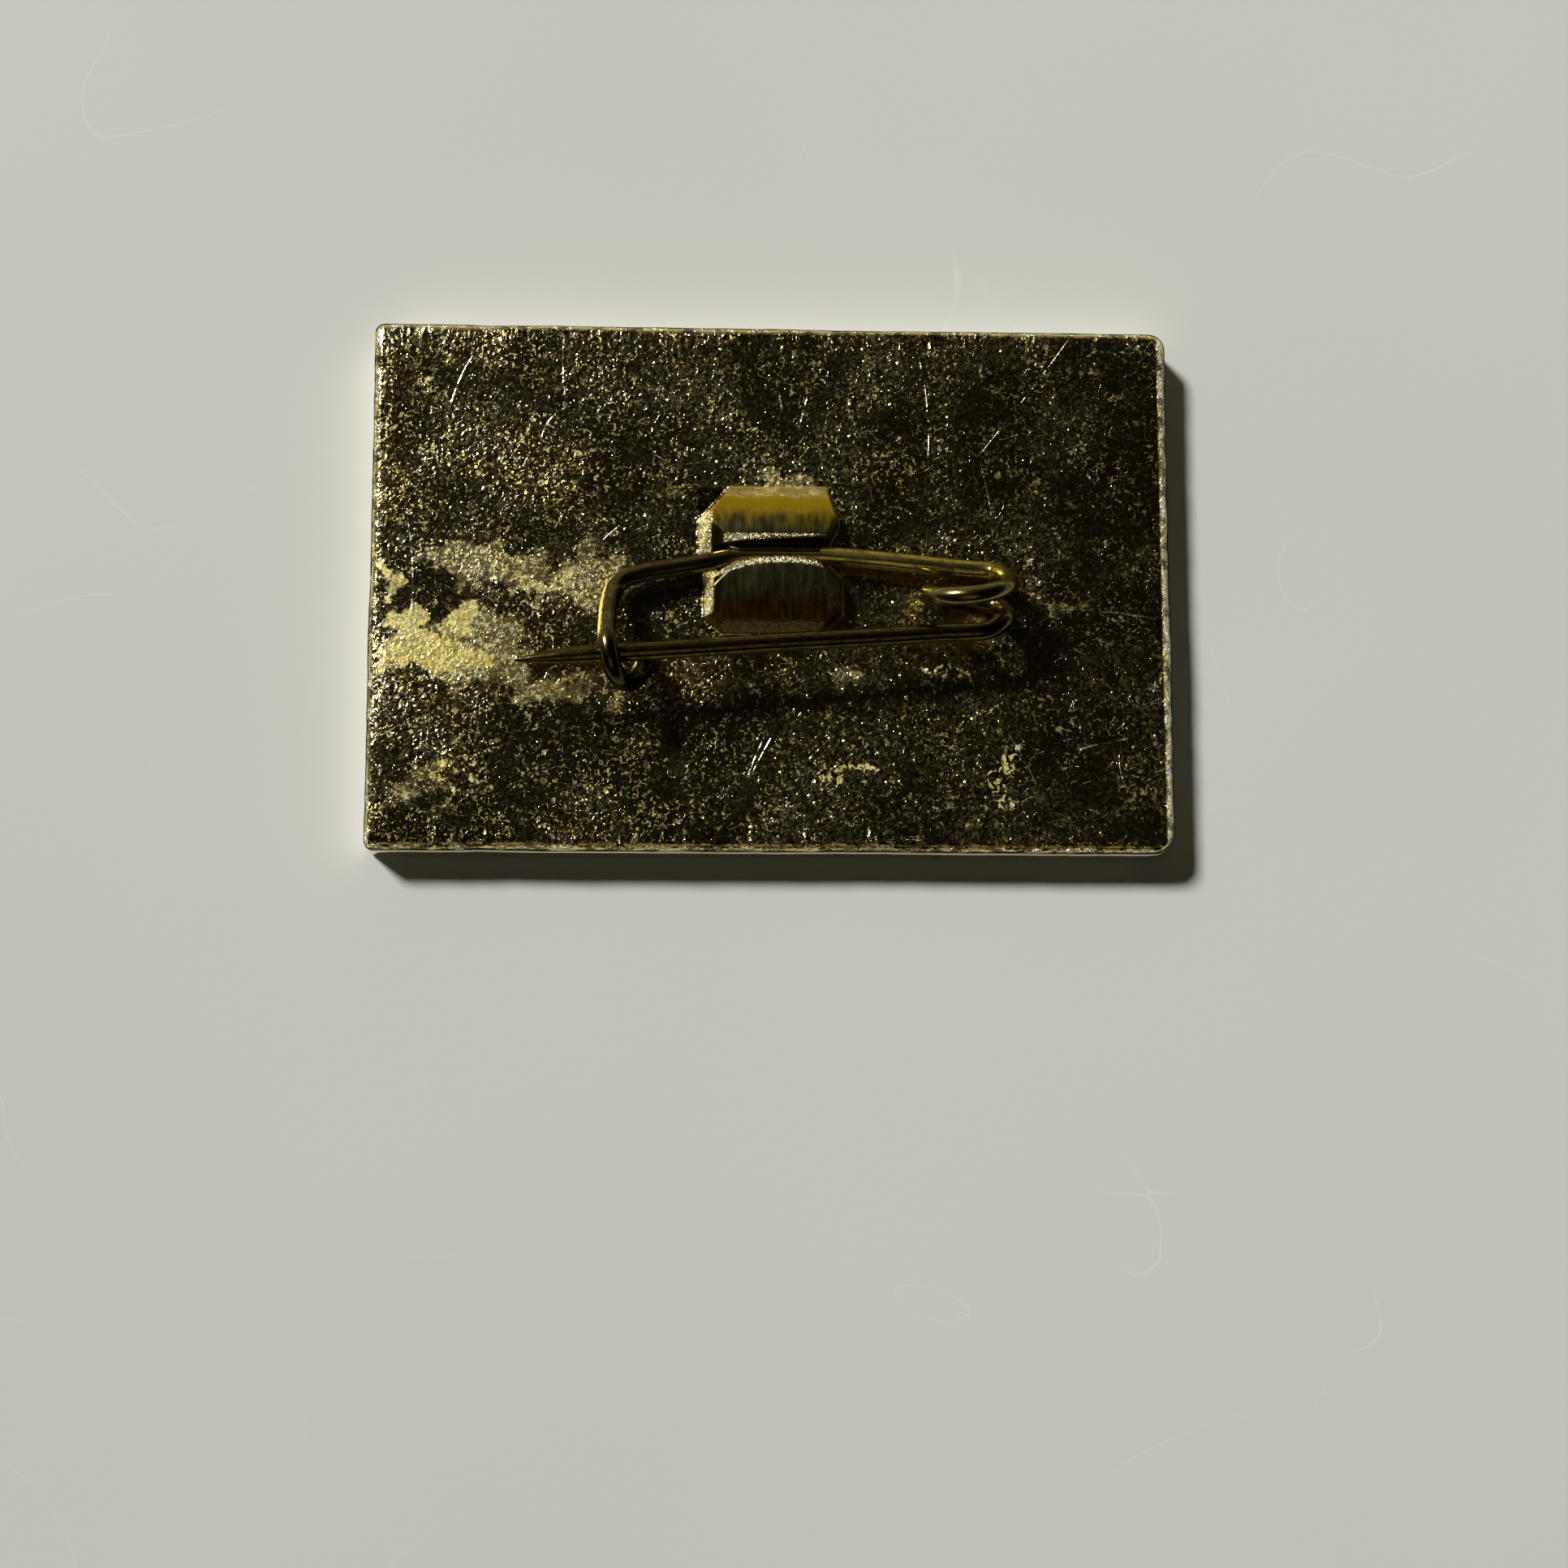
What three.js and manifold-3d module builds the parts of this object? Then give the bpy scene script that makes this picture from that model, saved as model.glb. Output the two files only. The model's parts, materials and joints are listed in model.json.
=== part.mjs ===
// A rectangular enamel pin badge: a struck aluminium plate with raised lines on its front, enamel
// in the cells between them, and a safety-pin wire crimped under two lugs on its back.
// Millimetres. The badge rests face down on its front rim: the origin is the middle of that rim's
// plane, +Z is the outward normal of the back, and +X runs along the long side.
import * as THREE from 'three';
import { mergeVertices } from 'three/addons/utils/BufferGeometryUtils.js';
import Module from 'manifold-3d';

const wasm = await Module();
wasm.setup();

// ---- driving dimensions ----

// plate
const LENGTH = 30;
const WIDTH = 20.1;
const THICK = 1.75;
const EDGE_ROLL = 0.28;
const LEFT_CORNER = 0.32;
const RIGHT_CORNER = 0.62;

// front: a flat rim, raised lines between the cells, enamel a little below the lines
const RIM = 1.0;
const LINE = 0.3;
const CELL_DEPTH = 0.5;
const ENAMEL_LEVEL = 0.06;
const ENAMEL_GAP = 0.02;

// lugs, which stand on the back and close over the wire
const LUG_HEIGHT = 0.92;
const LUG_LENGTH = 4.7;
const LUG_MIDDLE_X = 0.08;
const LUG_ROOT = 0.3;
const LUG_CORNER = 0.55;
const LUG_FOOT_CORNER = 0.22;
const LUG_OVERHANG = 0.22;
const SEAM_Y = 0.98;
const UPPER_LUG_END_Y = 3.7;
const LOWER_LUG_END_Y = -1.78;
const CHANNEL_GAP = 0.03;

// wire
const WIRE_RADIUS = 0.35;
const WIRE_SIDES = 12;
const JOINT_GAP = 0.05;
const TIP_LENGTH = 2.7;
const TIP_RADIUS = 0.05;

// spring coil: an upright ellipse whose top leans towards -Y, then one tighter half turn
const COIL_X = 7.12;
const COIL_HEIGHT = 1.93;
const COIL_RADIUS_X = 1.52;
const COIL_RADIUS_Z = 1.48;
const COIL_PITCH = 1.1;
const COIL_LEAN = 0.42;
const COIL_SIDE = 0.05;
const COIL_START = 0.12;
const COIL_STEPS_PER_TURN = 20;
const RETURN_RADIUS = 0.78;
const RETURN_SHIFT = 0.72;
const RETURN_SIDE = 0.15;
const RETURN_STEPS = 6;

const GOLD = { color: 0x8f8136, roughness: 0.32, metalness: 1 };
const BRONZE = { color: 0x5a4a1c, roughness: 0.35, metalness: 1 };

// ---- helpers ----

const group = new THREE.Group();

/** A point a given height above the plate's back. */
function above(x, y, height) {
  return new THREE.Vector3(x, y, THICK + height);
}

/** A closed geometry as a solid that can be joined and cut. */
function solid(geometry) {
  const bare = geometry.clone();
  bare.deleteAttribute('normal');
  bare.deleteAttribute('uv');
  const merged = mergeVertices(bare, 1e-5);
  return new wasm.Manifold(new wasm.Mesh({
    numProp: 3,
    vertProperties: merged.attributes.position.array,
    triVerts: Uint32Array.from(merged.index.array),
  }));
}

/** A joined or cut solid as a geometry. */
function geometryOf(made) {
  const mesh = made.getMesh();
  const geometry = new THREE.BufferGeometry();
  geometry.setAttribute('position', new THREE.BufferAttribute(mesh.vertProperties, 3));
  geometry.setIndex(new THREE.BufferAttribute(mesh.triVerts, 1));
  geometry.computeVertexNormals();
  return geometry;
}

/** Adds a named sub-part to the badge. */
function addPart(name, geometry, finish) {
  const mesh = new THREE.Mesh(geometry, new THREE.MeshStandardMaterial(finish));
  mesh.name = name;
  group.add(mesh);
}

/** An upright prism on an outline in the XY plane. */
function prism(outline, bottom, top) {
  const geometry = new THREE.ExtrudeGeometry(new THREE.Shape(outline), {
    depth: top - bottom,
    bevelEnabled: false,
  });
  return geometry.translate(0, 0, bottom);
}

/** A profile in the YZ plane, extruded along X from one place to another. */
function sweptAlongX(profile, from, to) {
  const geometry = new THREE.ExtrudeGeometry(new THREE.Shape(profile), {
    depth: to - from,
    bevelEnabled: false,
  });
  geometry.applyMatrix4(new THREE.Matrix4().makeBasis(
    new THREE.Vector3(0, 1, 0),
    new THREE.Vector3(0, 0, 1),
    new THREE.Vector3(1, 0, 0),
  ));
  return geometry.translate(from, 0, 0);
}

/** A round wire along a curve, with flat ends. */
function wireAlong(curve, radius, steps) {
  const section = new THREE.Shape();
  section.absarc(0, 0, radius, 0, 2 * Math.PI);
  return new THREE.ExtrudeGeometry(section, {
    steps,
    curveSegments: WIRE_SIDES / 2,
    extrudePath: curve,
    bevelEnabled: false,
  });
}

/** An outline moved outwards by a distance, or inwards by a negative one, with mitred corners. */
function grown(outline, distance) {
  const side = THREE.ShapeUtils.isClockWise(outline) ? -distance : distance;
  const count = outline.length;
  return outline.map((point, i) => {
    const before = point.clone().sub(outline[(i + count - 1) % count]).normalize();
    const after = outline[(i + 1) % count].clone().sub(point).normalize();
    const mitre = new THREE.Vector2(before.y + after.y, -before.x - after.x);
    return point.clone().addScaledVector(mitre, (2 * side) / mitre.lengthSq());
  });
}

// ---- base plate ----

/** The plate's outline, with tighter corners at its left. */
function plateOutline() {
  const right = LENGTH / 2;
  const top = WIDTH / 2;
  const shape = new THREE.Shape();
  const corners = [
    [right, top, RIGHT_CORNER, 0],
    [-right, top, LEFT_CORNER, 1],
    [-right, -top, LEFT_CORNER, 2],
    [right, -top, RIGHT_CORNER, 3],
  ];
  for (const [x, y, radius, quarter] of corners) {
    const start = (quarter * Math.PI) / 2;
    shape.absarc(
      x - Math.sign(x) * radius,
      y - Math.sign(y) * radius,
      radius,
      start,
      start + Math.PI / 2,
    );
  }
  return shape;
}

/** The flat plate with rolled edges, before its cells are cut. */
function plateBlank() {
  const geometry = new THREE.ExtrudeGeometry(plateOutline(), {
    depth: THICK - 2 * EDGE_ROLL,
    bevelEnabled: true,
    bevelThickness: EDGE_ROLL,
    bevelSize: EDGE_ROLL,
    bevelOffset: -EDGE_ROLL,
    bevelSegments: 3,
    curveSegments: 2,
  });
  return geometry.translate(0, 0, EDGE_ROLL);
}

/** Closed profile of a lug across the wire, rising from its far end to a bevel over the wire. */
function lugProfile(endY) {
  const side = Math.sign(endY - SEAM_Y);
  const reach = Math.abs(endY - SEAM_Y);
  const top = THICK + LUG_HEIGHT;
  const crown = new THREE.SplineCurve([
    new THREE.Vector2(reach, THICK),
    new THREE.Vector2(reach - 0.25, THICK + 0.45 * LUG_HEIGHT),
    new THREE.Vector2(reach - 0.75, THICK + 0.82 * LUG_HEIGHT),
    new THREE.Vector2(reach * 0.45, top),
    new THREE.Vector2(0.45, top - 0.05),
  ]).getPoints(10);
  const bevel = [
    new THREE.Vector2(LUG_OVERHANG, top - LUG_OVERHANG),
    new THREE.Vector2(0, THICK),
    new THREE.Vector2(0, THICK - LUG_ROOT),
    new THREE.Vector2(reach, THICK - LUG_ROOT),
  ];
  return [...crown, ...bevel].map((point) => new THREE.Vector2(SEAM_Y + side * point.x, point.y));
}

/** Plan of a lug, with its two corners beside the wire cut off. */
function lugPlan(endY) {
  const side = Math.sign(endY - SEAM_Y);
  const left = LUG_MIDDLE_X - LUG_LENGTH / 2;
  const right = LUG_MIDDLE_X + LUG_LENGTH / 2;
  const corner = side * LUG_CORNER;
  const foot = side * LUG_FOOT_CORNER;
  return [
    new THREE.Vector2(left, endY - foot),
    new THREE.Vector2(left + LUG_FOOT_CORNER, endY),
    new THREE.Vector2(right - LUG_FOOT_CORNER, endY),
    new THREE.Vector2(right, endY - foot),
    new THREE.Vector2(right, SEAM_Y + 1.5 * corner),
    new THREE.Vector2(right - LUG_CORNER, SEAM_Y + foot),
    new THREE.Vector2(right - LUG_CORNER, SEAM_Y),
    new THREE.Vector2(left + LUG_CORNER, SEAM_Y),
    new THREE.Vector2(left + LUG_CORNER, SEAM_Y + foot),
    new THREE.Vector2(left, SEAM_Y + 1.5 * corner),
  ];
}

/** One lug: its profile along the wire, trimmed to its plan. */
function lug(endY) {
  const left = LUG_MIDDLE_X - LUG_LENGTH / 2;
  const bar = solid(sweptAlongX(lugProfile(endY), left, left + LUG_LENGTH));
  const plan = solid(prism(lugPlan(endY), THICK - LUG_ROOT, THICK + 2 * LUG_HEIGHT));
  return bar.intersect(plan);
}

// ---- the front's picture: a mountain lake with a small sailing boat ----

const FIELD_X = LENGTH / 2 - RIM;
const FIELD_Y = WIDTH / 2 - RIM;
const HORIZON = -2;

/** Points given as the front's viewer sees them, whose left is the badge's +X. */
function seenFromFront(...pairs) {
  return pairs.map(([across, up]) => new THREE.Vector2(-across, up));
}

/** A round outline. */
function disc(across, up, radius) {
  const shape = new THREE.Shape();
  shape.absarc(-across, up, radius, 0, 2 * Math.PI);
  return shape.getPoints(12).slice(1);
}

/** A cloud: a flat foot under three arcs. */
function cloud(across, up, size) {
  const shape = new THREE.Shape();
  shape.absarc(-across - 1.25 * size, up + 0.2 * size, 0.75 * size, 1.2 * Math.PI, 0.45 * Math.PI, true);
  shape.absarc(-across, up + 0.6 * size, 1.1 * size, 0.85 * Math.PI, 0.15 * Math.PI, true);
  shape.absarc(-across + 1.25 * size, up + 0.2 * size, 0.75 * size, 0.55 * Math.PI, -0.2 * Math.PI, true);
  return shape.getPoints(4);
}

/** Everything below a wavy line, down past the bottom of the picture. */
function waterBelow(level, swell) {
  const steps = 28;
  const reach = FIELD_X + 1;
  const crest = Array.from({ length: steps + 1 }, (_, i) => {
    const x = -reach + (2 * reach * i) / steps;
    return new THREE.Vector2(x, level + swell * Math.sin(x * 1.35));
  });
  const bottom = -FIELD_Y - 1;
  return [new THREE.Vector2(-reach, bottom), ...crest, new THREE.Vector2(reach, bottom)];
}

/** A soft hill running down from one side of the picture. */
function hill(...pairs) {
  const side = Math.sign(pairs[0][0]) * (FIELD_X + 1);
  const ridge = new THREE.SplineCurve(seenFromFront(...pairs)).getPoints(12);
  return [...ridge, ...seenFromFront([pairs.at(-1)[0], HORIZON - 1], [side, HORIZON - 1])];
}

// From the back of the picture to its front: each cell ends where a later one begins.
const PICTURE = [
  {
    names: ['enamel_sky'],
    color: 0x8fc4dc,
    outline: seenFromFront([-20, -15], [20, -15], [20, 15], [-20, 15]),
  },
  { names: ['enamel_sun'], color: 0xf2b53a, outline: disc(-10.2, 5.6, 1.7) },
  { names: ['enamel_cloud_large'], color: 0xf1efe6, outline: cloud(9.6, 6.0, 1.1) },
  { names: ['enamel_cloud_small'], color: 0xf1efe6, outline: cloud(-1.9, 6.5, 0.75) },
  {
    names: ['enamel_far_mountain'],
    color: 0x6f86a8,
    outline: seenFromFront([-13, -3], [-5.8, 3.9], [-2.5, 1.2], [1.5, -3]),
  },
  {
    names: ['enamel_far_snow'],
    color: 0xf4f3ee,
    outline: seenFromFront(
      [-7.78, 2.0],
      [-5.8, 3.9],
      [-3.9, 2.35],
      [-4.7, 1.9],
      [-5.6, 2.5],
      [-6.6, 1.7],
    ),
  },
  {
    names: ['enamel_near_mountain'],
    color: 0x3f5578,
    outline: seenFromFront([-5.2, -3], [3.4, 6.0], [6.4, 2.7], [11.8, -3]),
  },
  {
    names: ['enamel_near_snow'],
    color: 0xf4f3ee,
    outline: seenFromFront(
      [0.53, 3.0],
      [3.4, 6.0],
      [5.95, 3.2],
      [5.0, 2.5],
      [4.0, 3.4],
      [2.9, 2.3],
      [1.8, 3.3],
    ),
  },
  {
    names: ['enamel_left_hill'],
    color: 0x3d7a45,
    outline: hill([-15, 0.6], [-13, 0.4], [-10.5, -0.9], [-7.4, -2.6]),
  },
  {
    names: ['enamel_right_hill'],
    color: 0x2f6a3c,
    outline: hill([15, 1.7], [12.6, 1.3], [9.6, -0.4], [6.2, -2.7]),
  },
  {
    names: ['enamel_lake_far_left', 'enamel_lake_far_right'],
    color: 0x2f7fa6,
    outline: waterBelow(HORIZON, 0),
  },
  { names: ['enamel_lake_middle'], color: 0x23668f, outline: waterBelow(-4.3, 0.22) },
  { names: ['enamel_lake_near'], color: 0x1b4d74, outline: waterBelow(-6.5, 0.3) },
  {
    names: ['enamel_main_sail'],
    color: 0xf6f1df,
    outline: seenFromFront([0.2, -3.9], [3.9, -3.9], [0.2, 1.2]),
  },
  {
    names: ['enamel_jib'],
    color: 0xe9dcc0,
    outline: seenFromFront([0.2, -3.9], [0.2, 0.4], [-2.4, -3.9]),
  },
  {
    names: ['enamel_hull'],
    color: 0xa8281f,
    outline: seenFromFront([-2.9, -3.9], [4.6, -3.9], [3.5, -5.4], [-1.9, -5.4]),
  },
];

/** A cell of the picture as a solid between two levels, inset by a gap from the lines around it. */
function cellSolid(index, gap, bottom, top) {
  const inset = RIM + gap;
  const x = LENGTH / 2 - inset;
  const y = WIDTH / 2 - inset;
  const field = solid(prism(seenFromFront([-x, -y], [x, -y], [x, y], [-x, y]), bottom, top));
  let cell = solid(prism(grown(PICTURE[index].outline, -LINE / 2 - gap), bottom, top));
  cell = cell.intersect(field);
  for (const nearer of PICTURE.slice(index + 1)) {
    cell = cell.subtract(solid(prism(grown(nearer.outline, LINE / 2 + gap), bottom, top)));
  }
  return cell;
}

/** The enamel of each cell, as one or more separate fills in order from the viewer's left. */
function addEnamel(index) {
  const { names, color } = PICTURE[index];
  const whole = cellSolid(index, ENAMEL_GAP, ENAMEL_LEVEL, CELL_DEPTH - ENAMEL_GAP);
  const fills = whole.decompose();
  fills.sort((a, b) => b.boundingBox().max[0] - a.boundingBox().max[0]);
  names.forEach((name, i) => {
    addPart(name, geometryOf(fills[i]), { color, roughness: 0.18, metalness: 0 });
  });
}

// ---- pin wire ----

// The fixed arm, from the hook's free end under the needle, over it, and through the lugs.
const HOOK_ROUTE = [
  above(-4.67, -2.98, 1.2),
  above(-4.79, -3.51, 1.26),
  above(-5.05, -3.97, 1.6),
  above(-5.42, -4.19, 2.2),
  above(-5.74, -4.02, 2.85),
  above(-5.94, -3.53, 3.24),
  above(-6.05, -2.87, 3.22),
  above(-6.07, -2.14, 2.65),
  above(-6.02, -1.19, 1.75),
  above(-5.84, -0.42, 1.1),
  above(-5.45, -0.04, 0.92),
];
const ARM_ROUTE = [
  above(-4.91, 0.17, 0.85),
  above(-2.8, 0.6, 0.65),
  above(-1.4, 0.92, 0.52),
  above(0.1, 1.0, 0.5),
  above(1.74, 1.0, 0.51),
  above(3.26, 0.88, 0.6),
  above(5.06, 0.69, 0.72),
  above(6.7, 0.52, 0.74),
];
const NEEDLE_ROUTE = [
  above(6.08, -2.25, 2.07),
  above(3.73, -2.44, 2.16),
  above(-0.14, -2.72, 2.31),
  above(-2.72, -2.94, 2.4),
  above(-6.04, -3.2, 2.5),
  above(-9.4, -3.5, 2.6),
];

/** A point of the coil: its angle counts from the lowest point, rising at +X first. */
function coilPoint(turns) {
  const angle = turns * 2 * Math.PI;
  const height = COIL_HEIGHT - COIL_RADIUS_Z * Math.cos(angle);
  const y = COIL_SIDE - COIL_PITCH * turns - COIL_LEAN * (height - COIL_HEIGHT);
  return above(COIL_X + COIL_RADIUS_X * Math.sin(angle), y, height);
}

/** The tighter last half turn, from the coil's lowest point back to the needle. */
function returnPoint(share) {
  const angle = share * Math.PI;
  const low = coilPoint(1);
  const needle = NEEDLE_ROUTE[0];
  return new THREE.Vector3(
    COIL_X + RETURN_SHIFT + RETURN_RADIUS * Math.sin(angle),
    THREE.MathUtils.lerp(low.y - RETURN_SIDE, needle.y + RETURN_SIDE, share),
    low.z + RETURN_RADIUS * (1 - Math.cos(angle)),
  );
}

/** The whole coil from the fixed arm to the needle. */
function coilRoute() {
  const route = [];
  for (let i = 0; i <= COIL_STEPS_PER_TURN * (1 - COIL_START); i += 1) {
    route.push(coilPoint(COIL_START + i / COIL_STEPS_PER_TURN));
  }
  for (let i = 1; i <= RETURN_STEPS; i += 1) {
    route.push(returnPoint(i / RETURN_STEPS));
  }
  return route;
}

const COIL_ROUTE = coilRoute();
const WIRE = new THREE.CatmullRomCurve3(
  [...HOOK_ROUTE, ...ARM_ROUTE, ...COIL_ROUTE, ...NEEDLE_ROUTE],
  false,
  'centripetal',
);
WIRE.arcLengthDivisions = 1000;

/** The wire's centre line between two distances from its hooked end. */
function stretch(from, to) {
  const count = Math.ceil((to - from) / WIRE_RADIUS);
  const points = Array.from({ length: count + 1 }, (_, i) => (
    WIRE.getPointAt(THREE.MathUtils.lerp(from, to, i / count) / WIRE.getLength())
  ));
  return new THREE.CatmullRomCurve3(points, false, 'centripetal');
}

/** How far along the wire a point of its route lies. */
function distanceTo(point) {
  const lengths = WIRE.getLengths();
  const share = WIRE.points.indexOf(point) / (WIRE.points.length - 1);
  const place = share * (lengths.length - 1);
  const whole = Math.floor(place);
  const next = Math.min(whole + 1, lengths.length - 1);
  return THREE.MathUtils.lerp(lengths[whole], lengths[next], place - whole);
}

const coilStart = distanceTo(COIL_ROUTE[0]);
const coilEnd = distanceTo(COIL_ROUTE.at(-1));
const tipStart = WIRE.getLength() - TIP_LENGTH;

/** The fixed arm with its hook, whose free end is rounded. */
function fixedArm() {
  const end = new THREE.SphereGeometry(WIRE_RADIUS * 0.98, WIRE_SIDES, WIRE_SIDES / 2);
  end.translate(...HOOK_ROUTE[0].toArray());
  return solid(wireAlong(stretch(0, coilStart - JOINT_GAP / 2), WIRE_RADIUS, 84)).add(solid(end));
}

/** The needle: a round shank and a point that tapers to its tip. */
function needle() {
  const neck = WIRE.getPointAt(tipStart / WIRE.getLength());
  const along = NEEDLE_ROUTE.at(-1).clone().sub(neck).normalize();
  const taper = new THREE.SplineCurve([
    new THREE.Vector2(WIRE_RADIUS, 0),
    new THREE.Vector2(WIRE_RADIUS * 0.84, TIP_LENGTH * 0.4),
    new THREE.Vector2(WIRE_RADIUS * 0.5, TIP_LENGTH * 0.75),
    new THREE.Vector2(TIP_RADIUS, TIP_LENGTH),
  ]).getPoints(8);
  const profile = [
    new THREE.Vector2(0, -WIRE_RADIUS),
    new THREE.Vector2(WIRE_RADIUS, -WIRE_RADIUS),
    ...taper,
    new THREE.Vector2(0, TIP_LENGTH),
  ];
  const point = new THREE.LatheGeometry(profile, WIRE_SIDES);
  const up = new THREE.Vector3(0, 1, 0);
  point.applyQuaternion(new THREE.Quaternion().setFromUnitVectors(up, along));
  point.translate(...neck.toArray());
  const shank = wireAlong(stretch(coilEnd + JOINT_GAP / 2, tipStart), WIRE_RADIUS, 36);
  return solid(shank).add(solid(point));
}

// ---- assembly ----

const channel = solid(wireAlong(
  stretch(distanceTo(ARM_ROUTE[1]), distanceTo(ARM_ROUTE[6])),
  WIRE_RADIUS + CHANNEL_GAP,
  24,
));
let plate = solid(plateBlank()).add(lug(UPPER_LUG_END_Y)).add(lug(LOWER_LUG_END_Y));
plate = plate.subtract(channel);
PICTURE.forEach((_, index) => {
  plate = plate.subtract(cellSolid(index, 0, -1, CELL_DEPTH));
});
addPart('base_plate', geometryOf(plate), GOLD);

PICTURE.forEach((_, index) => addEnamel(index));

addPart('pin_fixed_arm', geometryOf(fixedArm()), BRONZE);
addPart(
  'pin_coil',
  wireAlong(stretch(coilStart + JOINT_GAP / 2, coilEnd - JOINT_GAP / 2), WIRE_RADIUS, 60),
  BRONZE,
);
addPart('pin_needle', geometryOf(needle()), BRONZE);

export default group;
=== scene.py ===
"""Looks of the enamel pin: a struck badge lying face down on a pale table, with a safety-pin wire
crimped under two lugs on its back.

Lengths in this file are millimetres in the shared frame, and MM turns them into metres. The plate, the
wire and the enamel are made here as fine closed meshes in the places of their CAD nodes."""

import json
import math

import bmesh
import bpy
import numpy as np
from mathutils import Euler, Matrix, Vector
from mathutils.geometry import delaunay_2d_cdt


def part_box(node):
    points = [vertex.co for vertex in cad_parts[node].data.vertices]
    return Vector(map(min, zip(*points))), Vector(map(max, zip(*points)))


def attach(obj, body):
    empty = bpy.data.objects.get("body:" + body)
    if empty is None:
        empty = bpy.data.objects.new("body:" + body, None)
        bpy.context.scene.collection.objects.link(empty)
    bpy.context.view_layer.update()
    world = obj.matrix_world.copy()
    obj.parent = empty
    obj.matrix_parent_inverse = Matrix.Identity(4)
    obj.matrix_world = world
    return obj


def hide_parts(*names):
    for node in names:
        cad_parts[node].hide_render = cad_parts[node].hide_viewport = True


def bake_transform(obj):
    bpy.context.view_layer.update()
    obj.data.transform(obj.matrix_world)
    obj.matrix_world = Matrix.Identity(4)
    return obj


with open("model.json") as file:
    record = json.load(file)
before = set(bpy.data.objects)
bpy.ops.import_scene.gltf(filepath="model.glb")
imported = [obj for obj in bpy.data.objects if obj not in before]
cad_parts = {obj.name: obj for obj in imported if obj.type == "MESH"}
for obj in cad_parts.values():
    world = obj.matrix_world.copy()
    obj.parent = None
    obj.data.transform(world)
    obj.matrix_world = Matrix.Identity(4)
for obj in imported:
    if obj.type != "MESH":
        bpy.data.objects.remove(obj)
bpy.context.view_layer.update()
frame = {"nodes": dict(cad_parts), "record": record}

MM = 0.001

# ---- sizes from the frame ----

nodes = frame["nodes"]
mounts = {mount["name"]: mount for mount in frame["record"]["mounts"]}
plate_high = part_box("base_plate")[1] / MM
HALF_X = plate_high.x
HALF_Y = plate_high.y
BACK = mounts["back_face"]["pos_m"][2] / MM
ENAMEL_NODES = [name for name in sorted(nodes) if name.startswith("enamel_")]

# ---- sizes of the look ----

EDGE_ROLL = 0.27
DRAFT = 0.055
SHEAR_REACH = 1.1
CLEARANCE = 0.002
LEFT_CORNER = 0.32
RIGHT_CORNER = 0.62
PLAIN_STEP = 0.145
LUG_STEP = 0.058
CREASE = 0.018
LUG_TOP = 0.93
ROLL_REACH = 0.9 * EDGE_ROLL
DENTS = 70
LATTICE = 512

WIRE_RADIUS = 0.35
WIRE_SIDES = 28
WIRE_STEP = 0.11
CHANNEL_STEP = 0.15
CURVE_DENSITY = 24
TIP_LENGTH = 2.7
TIP_RADIUS = 0.05
CRIMP_PLAY = 0.008
WIRE_Y, WIRE_HEIGHT = 1.0, 0.5
SPLIT_X = 0.1
LOW_WIRE = 2.4
# Painted shadow of the wire on the plate: its shift from below the wire towards +X and -Y, the way
# shadows fall, and its reach.
WIRE_SHADOW_SHIFT = (0.25, -0.35)
WIRE_SHADOW_REACH = 0.62

CELL_GAP = 0.02
CELL_DEPTH = 0.5
FRONT_REACH = CELL_DEPTH + 0.05
DISH_RIM = 0.11
WELD = 0.02
UNFOLD_ROUNDS = 24
UNFOLD_STEP = 0.7


# ---- numbers over the plane ----


def ease(share):
    """A smooth step from 0 to 1 for shares from 0 to 1."""
    share = np.clip(share, 0, 1)
    return share * share * (3 - 2 * share)


def past(value, start, span):
    """0 up to a start and 1 from a span beyond it. A span below zero looks the other way."""
    return ease((value - start) / span)


def soft_noise(x, y, period, seed):
    """Smooth noise from -1 to 1 whose bumps are about a period across."""
    lattice = np.random.default_rng(seed).uniform(-1, 1, (LATTICE, LATTICE))
    across = np.asarray(x) / period + LATTICE / 2
    up = np.asarray(y) / period + LATTICE / 2
    column, row = np.floor(across).astype(int), np.floor(up).astype(int)
    right, top = ease(across - column), ease(up - row)
    low = lattice[column, row] * (1 - right) + lattice[column + 1, row] * right
    high = lattice[column, row + 1] * (1 - right) + lattice[column + 1, row + 1] * right
    return low * (1 - top) + high * top


def lowest(surfaces, rounding):
    """The lower envelope of several heights, with its creases rounded."""
    heights = np.stack(np.broadcast_arrays(*surfaces))
    floor = heights.min(0)
    return floor - rounding * np.log(np.exp((floor - heights) / rounding).sum(0))


def highest(surfaces, rounding):
    """The upper envelope of several heights, with its creases rounded."""
    return -lowest([-surface for surface in surfaces], rounding)


# ---- the plate ----

# The flats that cut down a lug's crown: a place each passes, its height there, its rise along x and y.
UPPER_LUG_FLATS = [
    ((2.36, 0), 0.87, (-7.0, 0)),
    ((2.21, 2.83), 0.78, (-4.7, -1.7)),
    ((-2.0, 3.02), 0.74, (3.0, -2.6)),
    ((-2.08, 2.0), 0.91, (0.53, 0.54)),
    ((2.2, 2.06), 0.9, (-4.5, 2.15)),
]
LOWER_LUG_FLATS = [
    ((2.5, 0), 0.8, (-7.0, 0)),
    ((-2.03, -1.4), 0.74, (1.95, 2.3)),
    ((2.2, -1.3), 0.72, (-2.2, 2.7)),
    ((-1.97, 0.06), 0.88, (0.88, -0.82)),
    ((2.15, 0.22), 0.86, (-1.8, -1.7)),
]


def slope(x, y, place, height, rise):
    """A plane through a place at a height, with a rise along x and y."""
    return height + rise[0] * (x - place[0]) + rise[1] * (y - place[1])


def over_wire(y):
    """Height of a skin that lies on the wire's far side, as the struck lug does."""
    skin = WIRE_RADIUS + CRIMP_PLAY + 0.016
    return WIRE_HEIGHT + np.sqrt(np.clip(skin**2 - (y - WIRE_Y) ** 2, 0, None))


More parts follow.
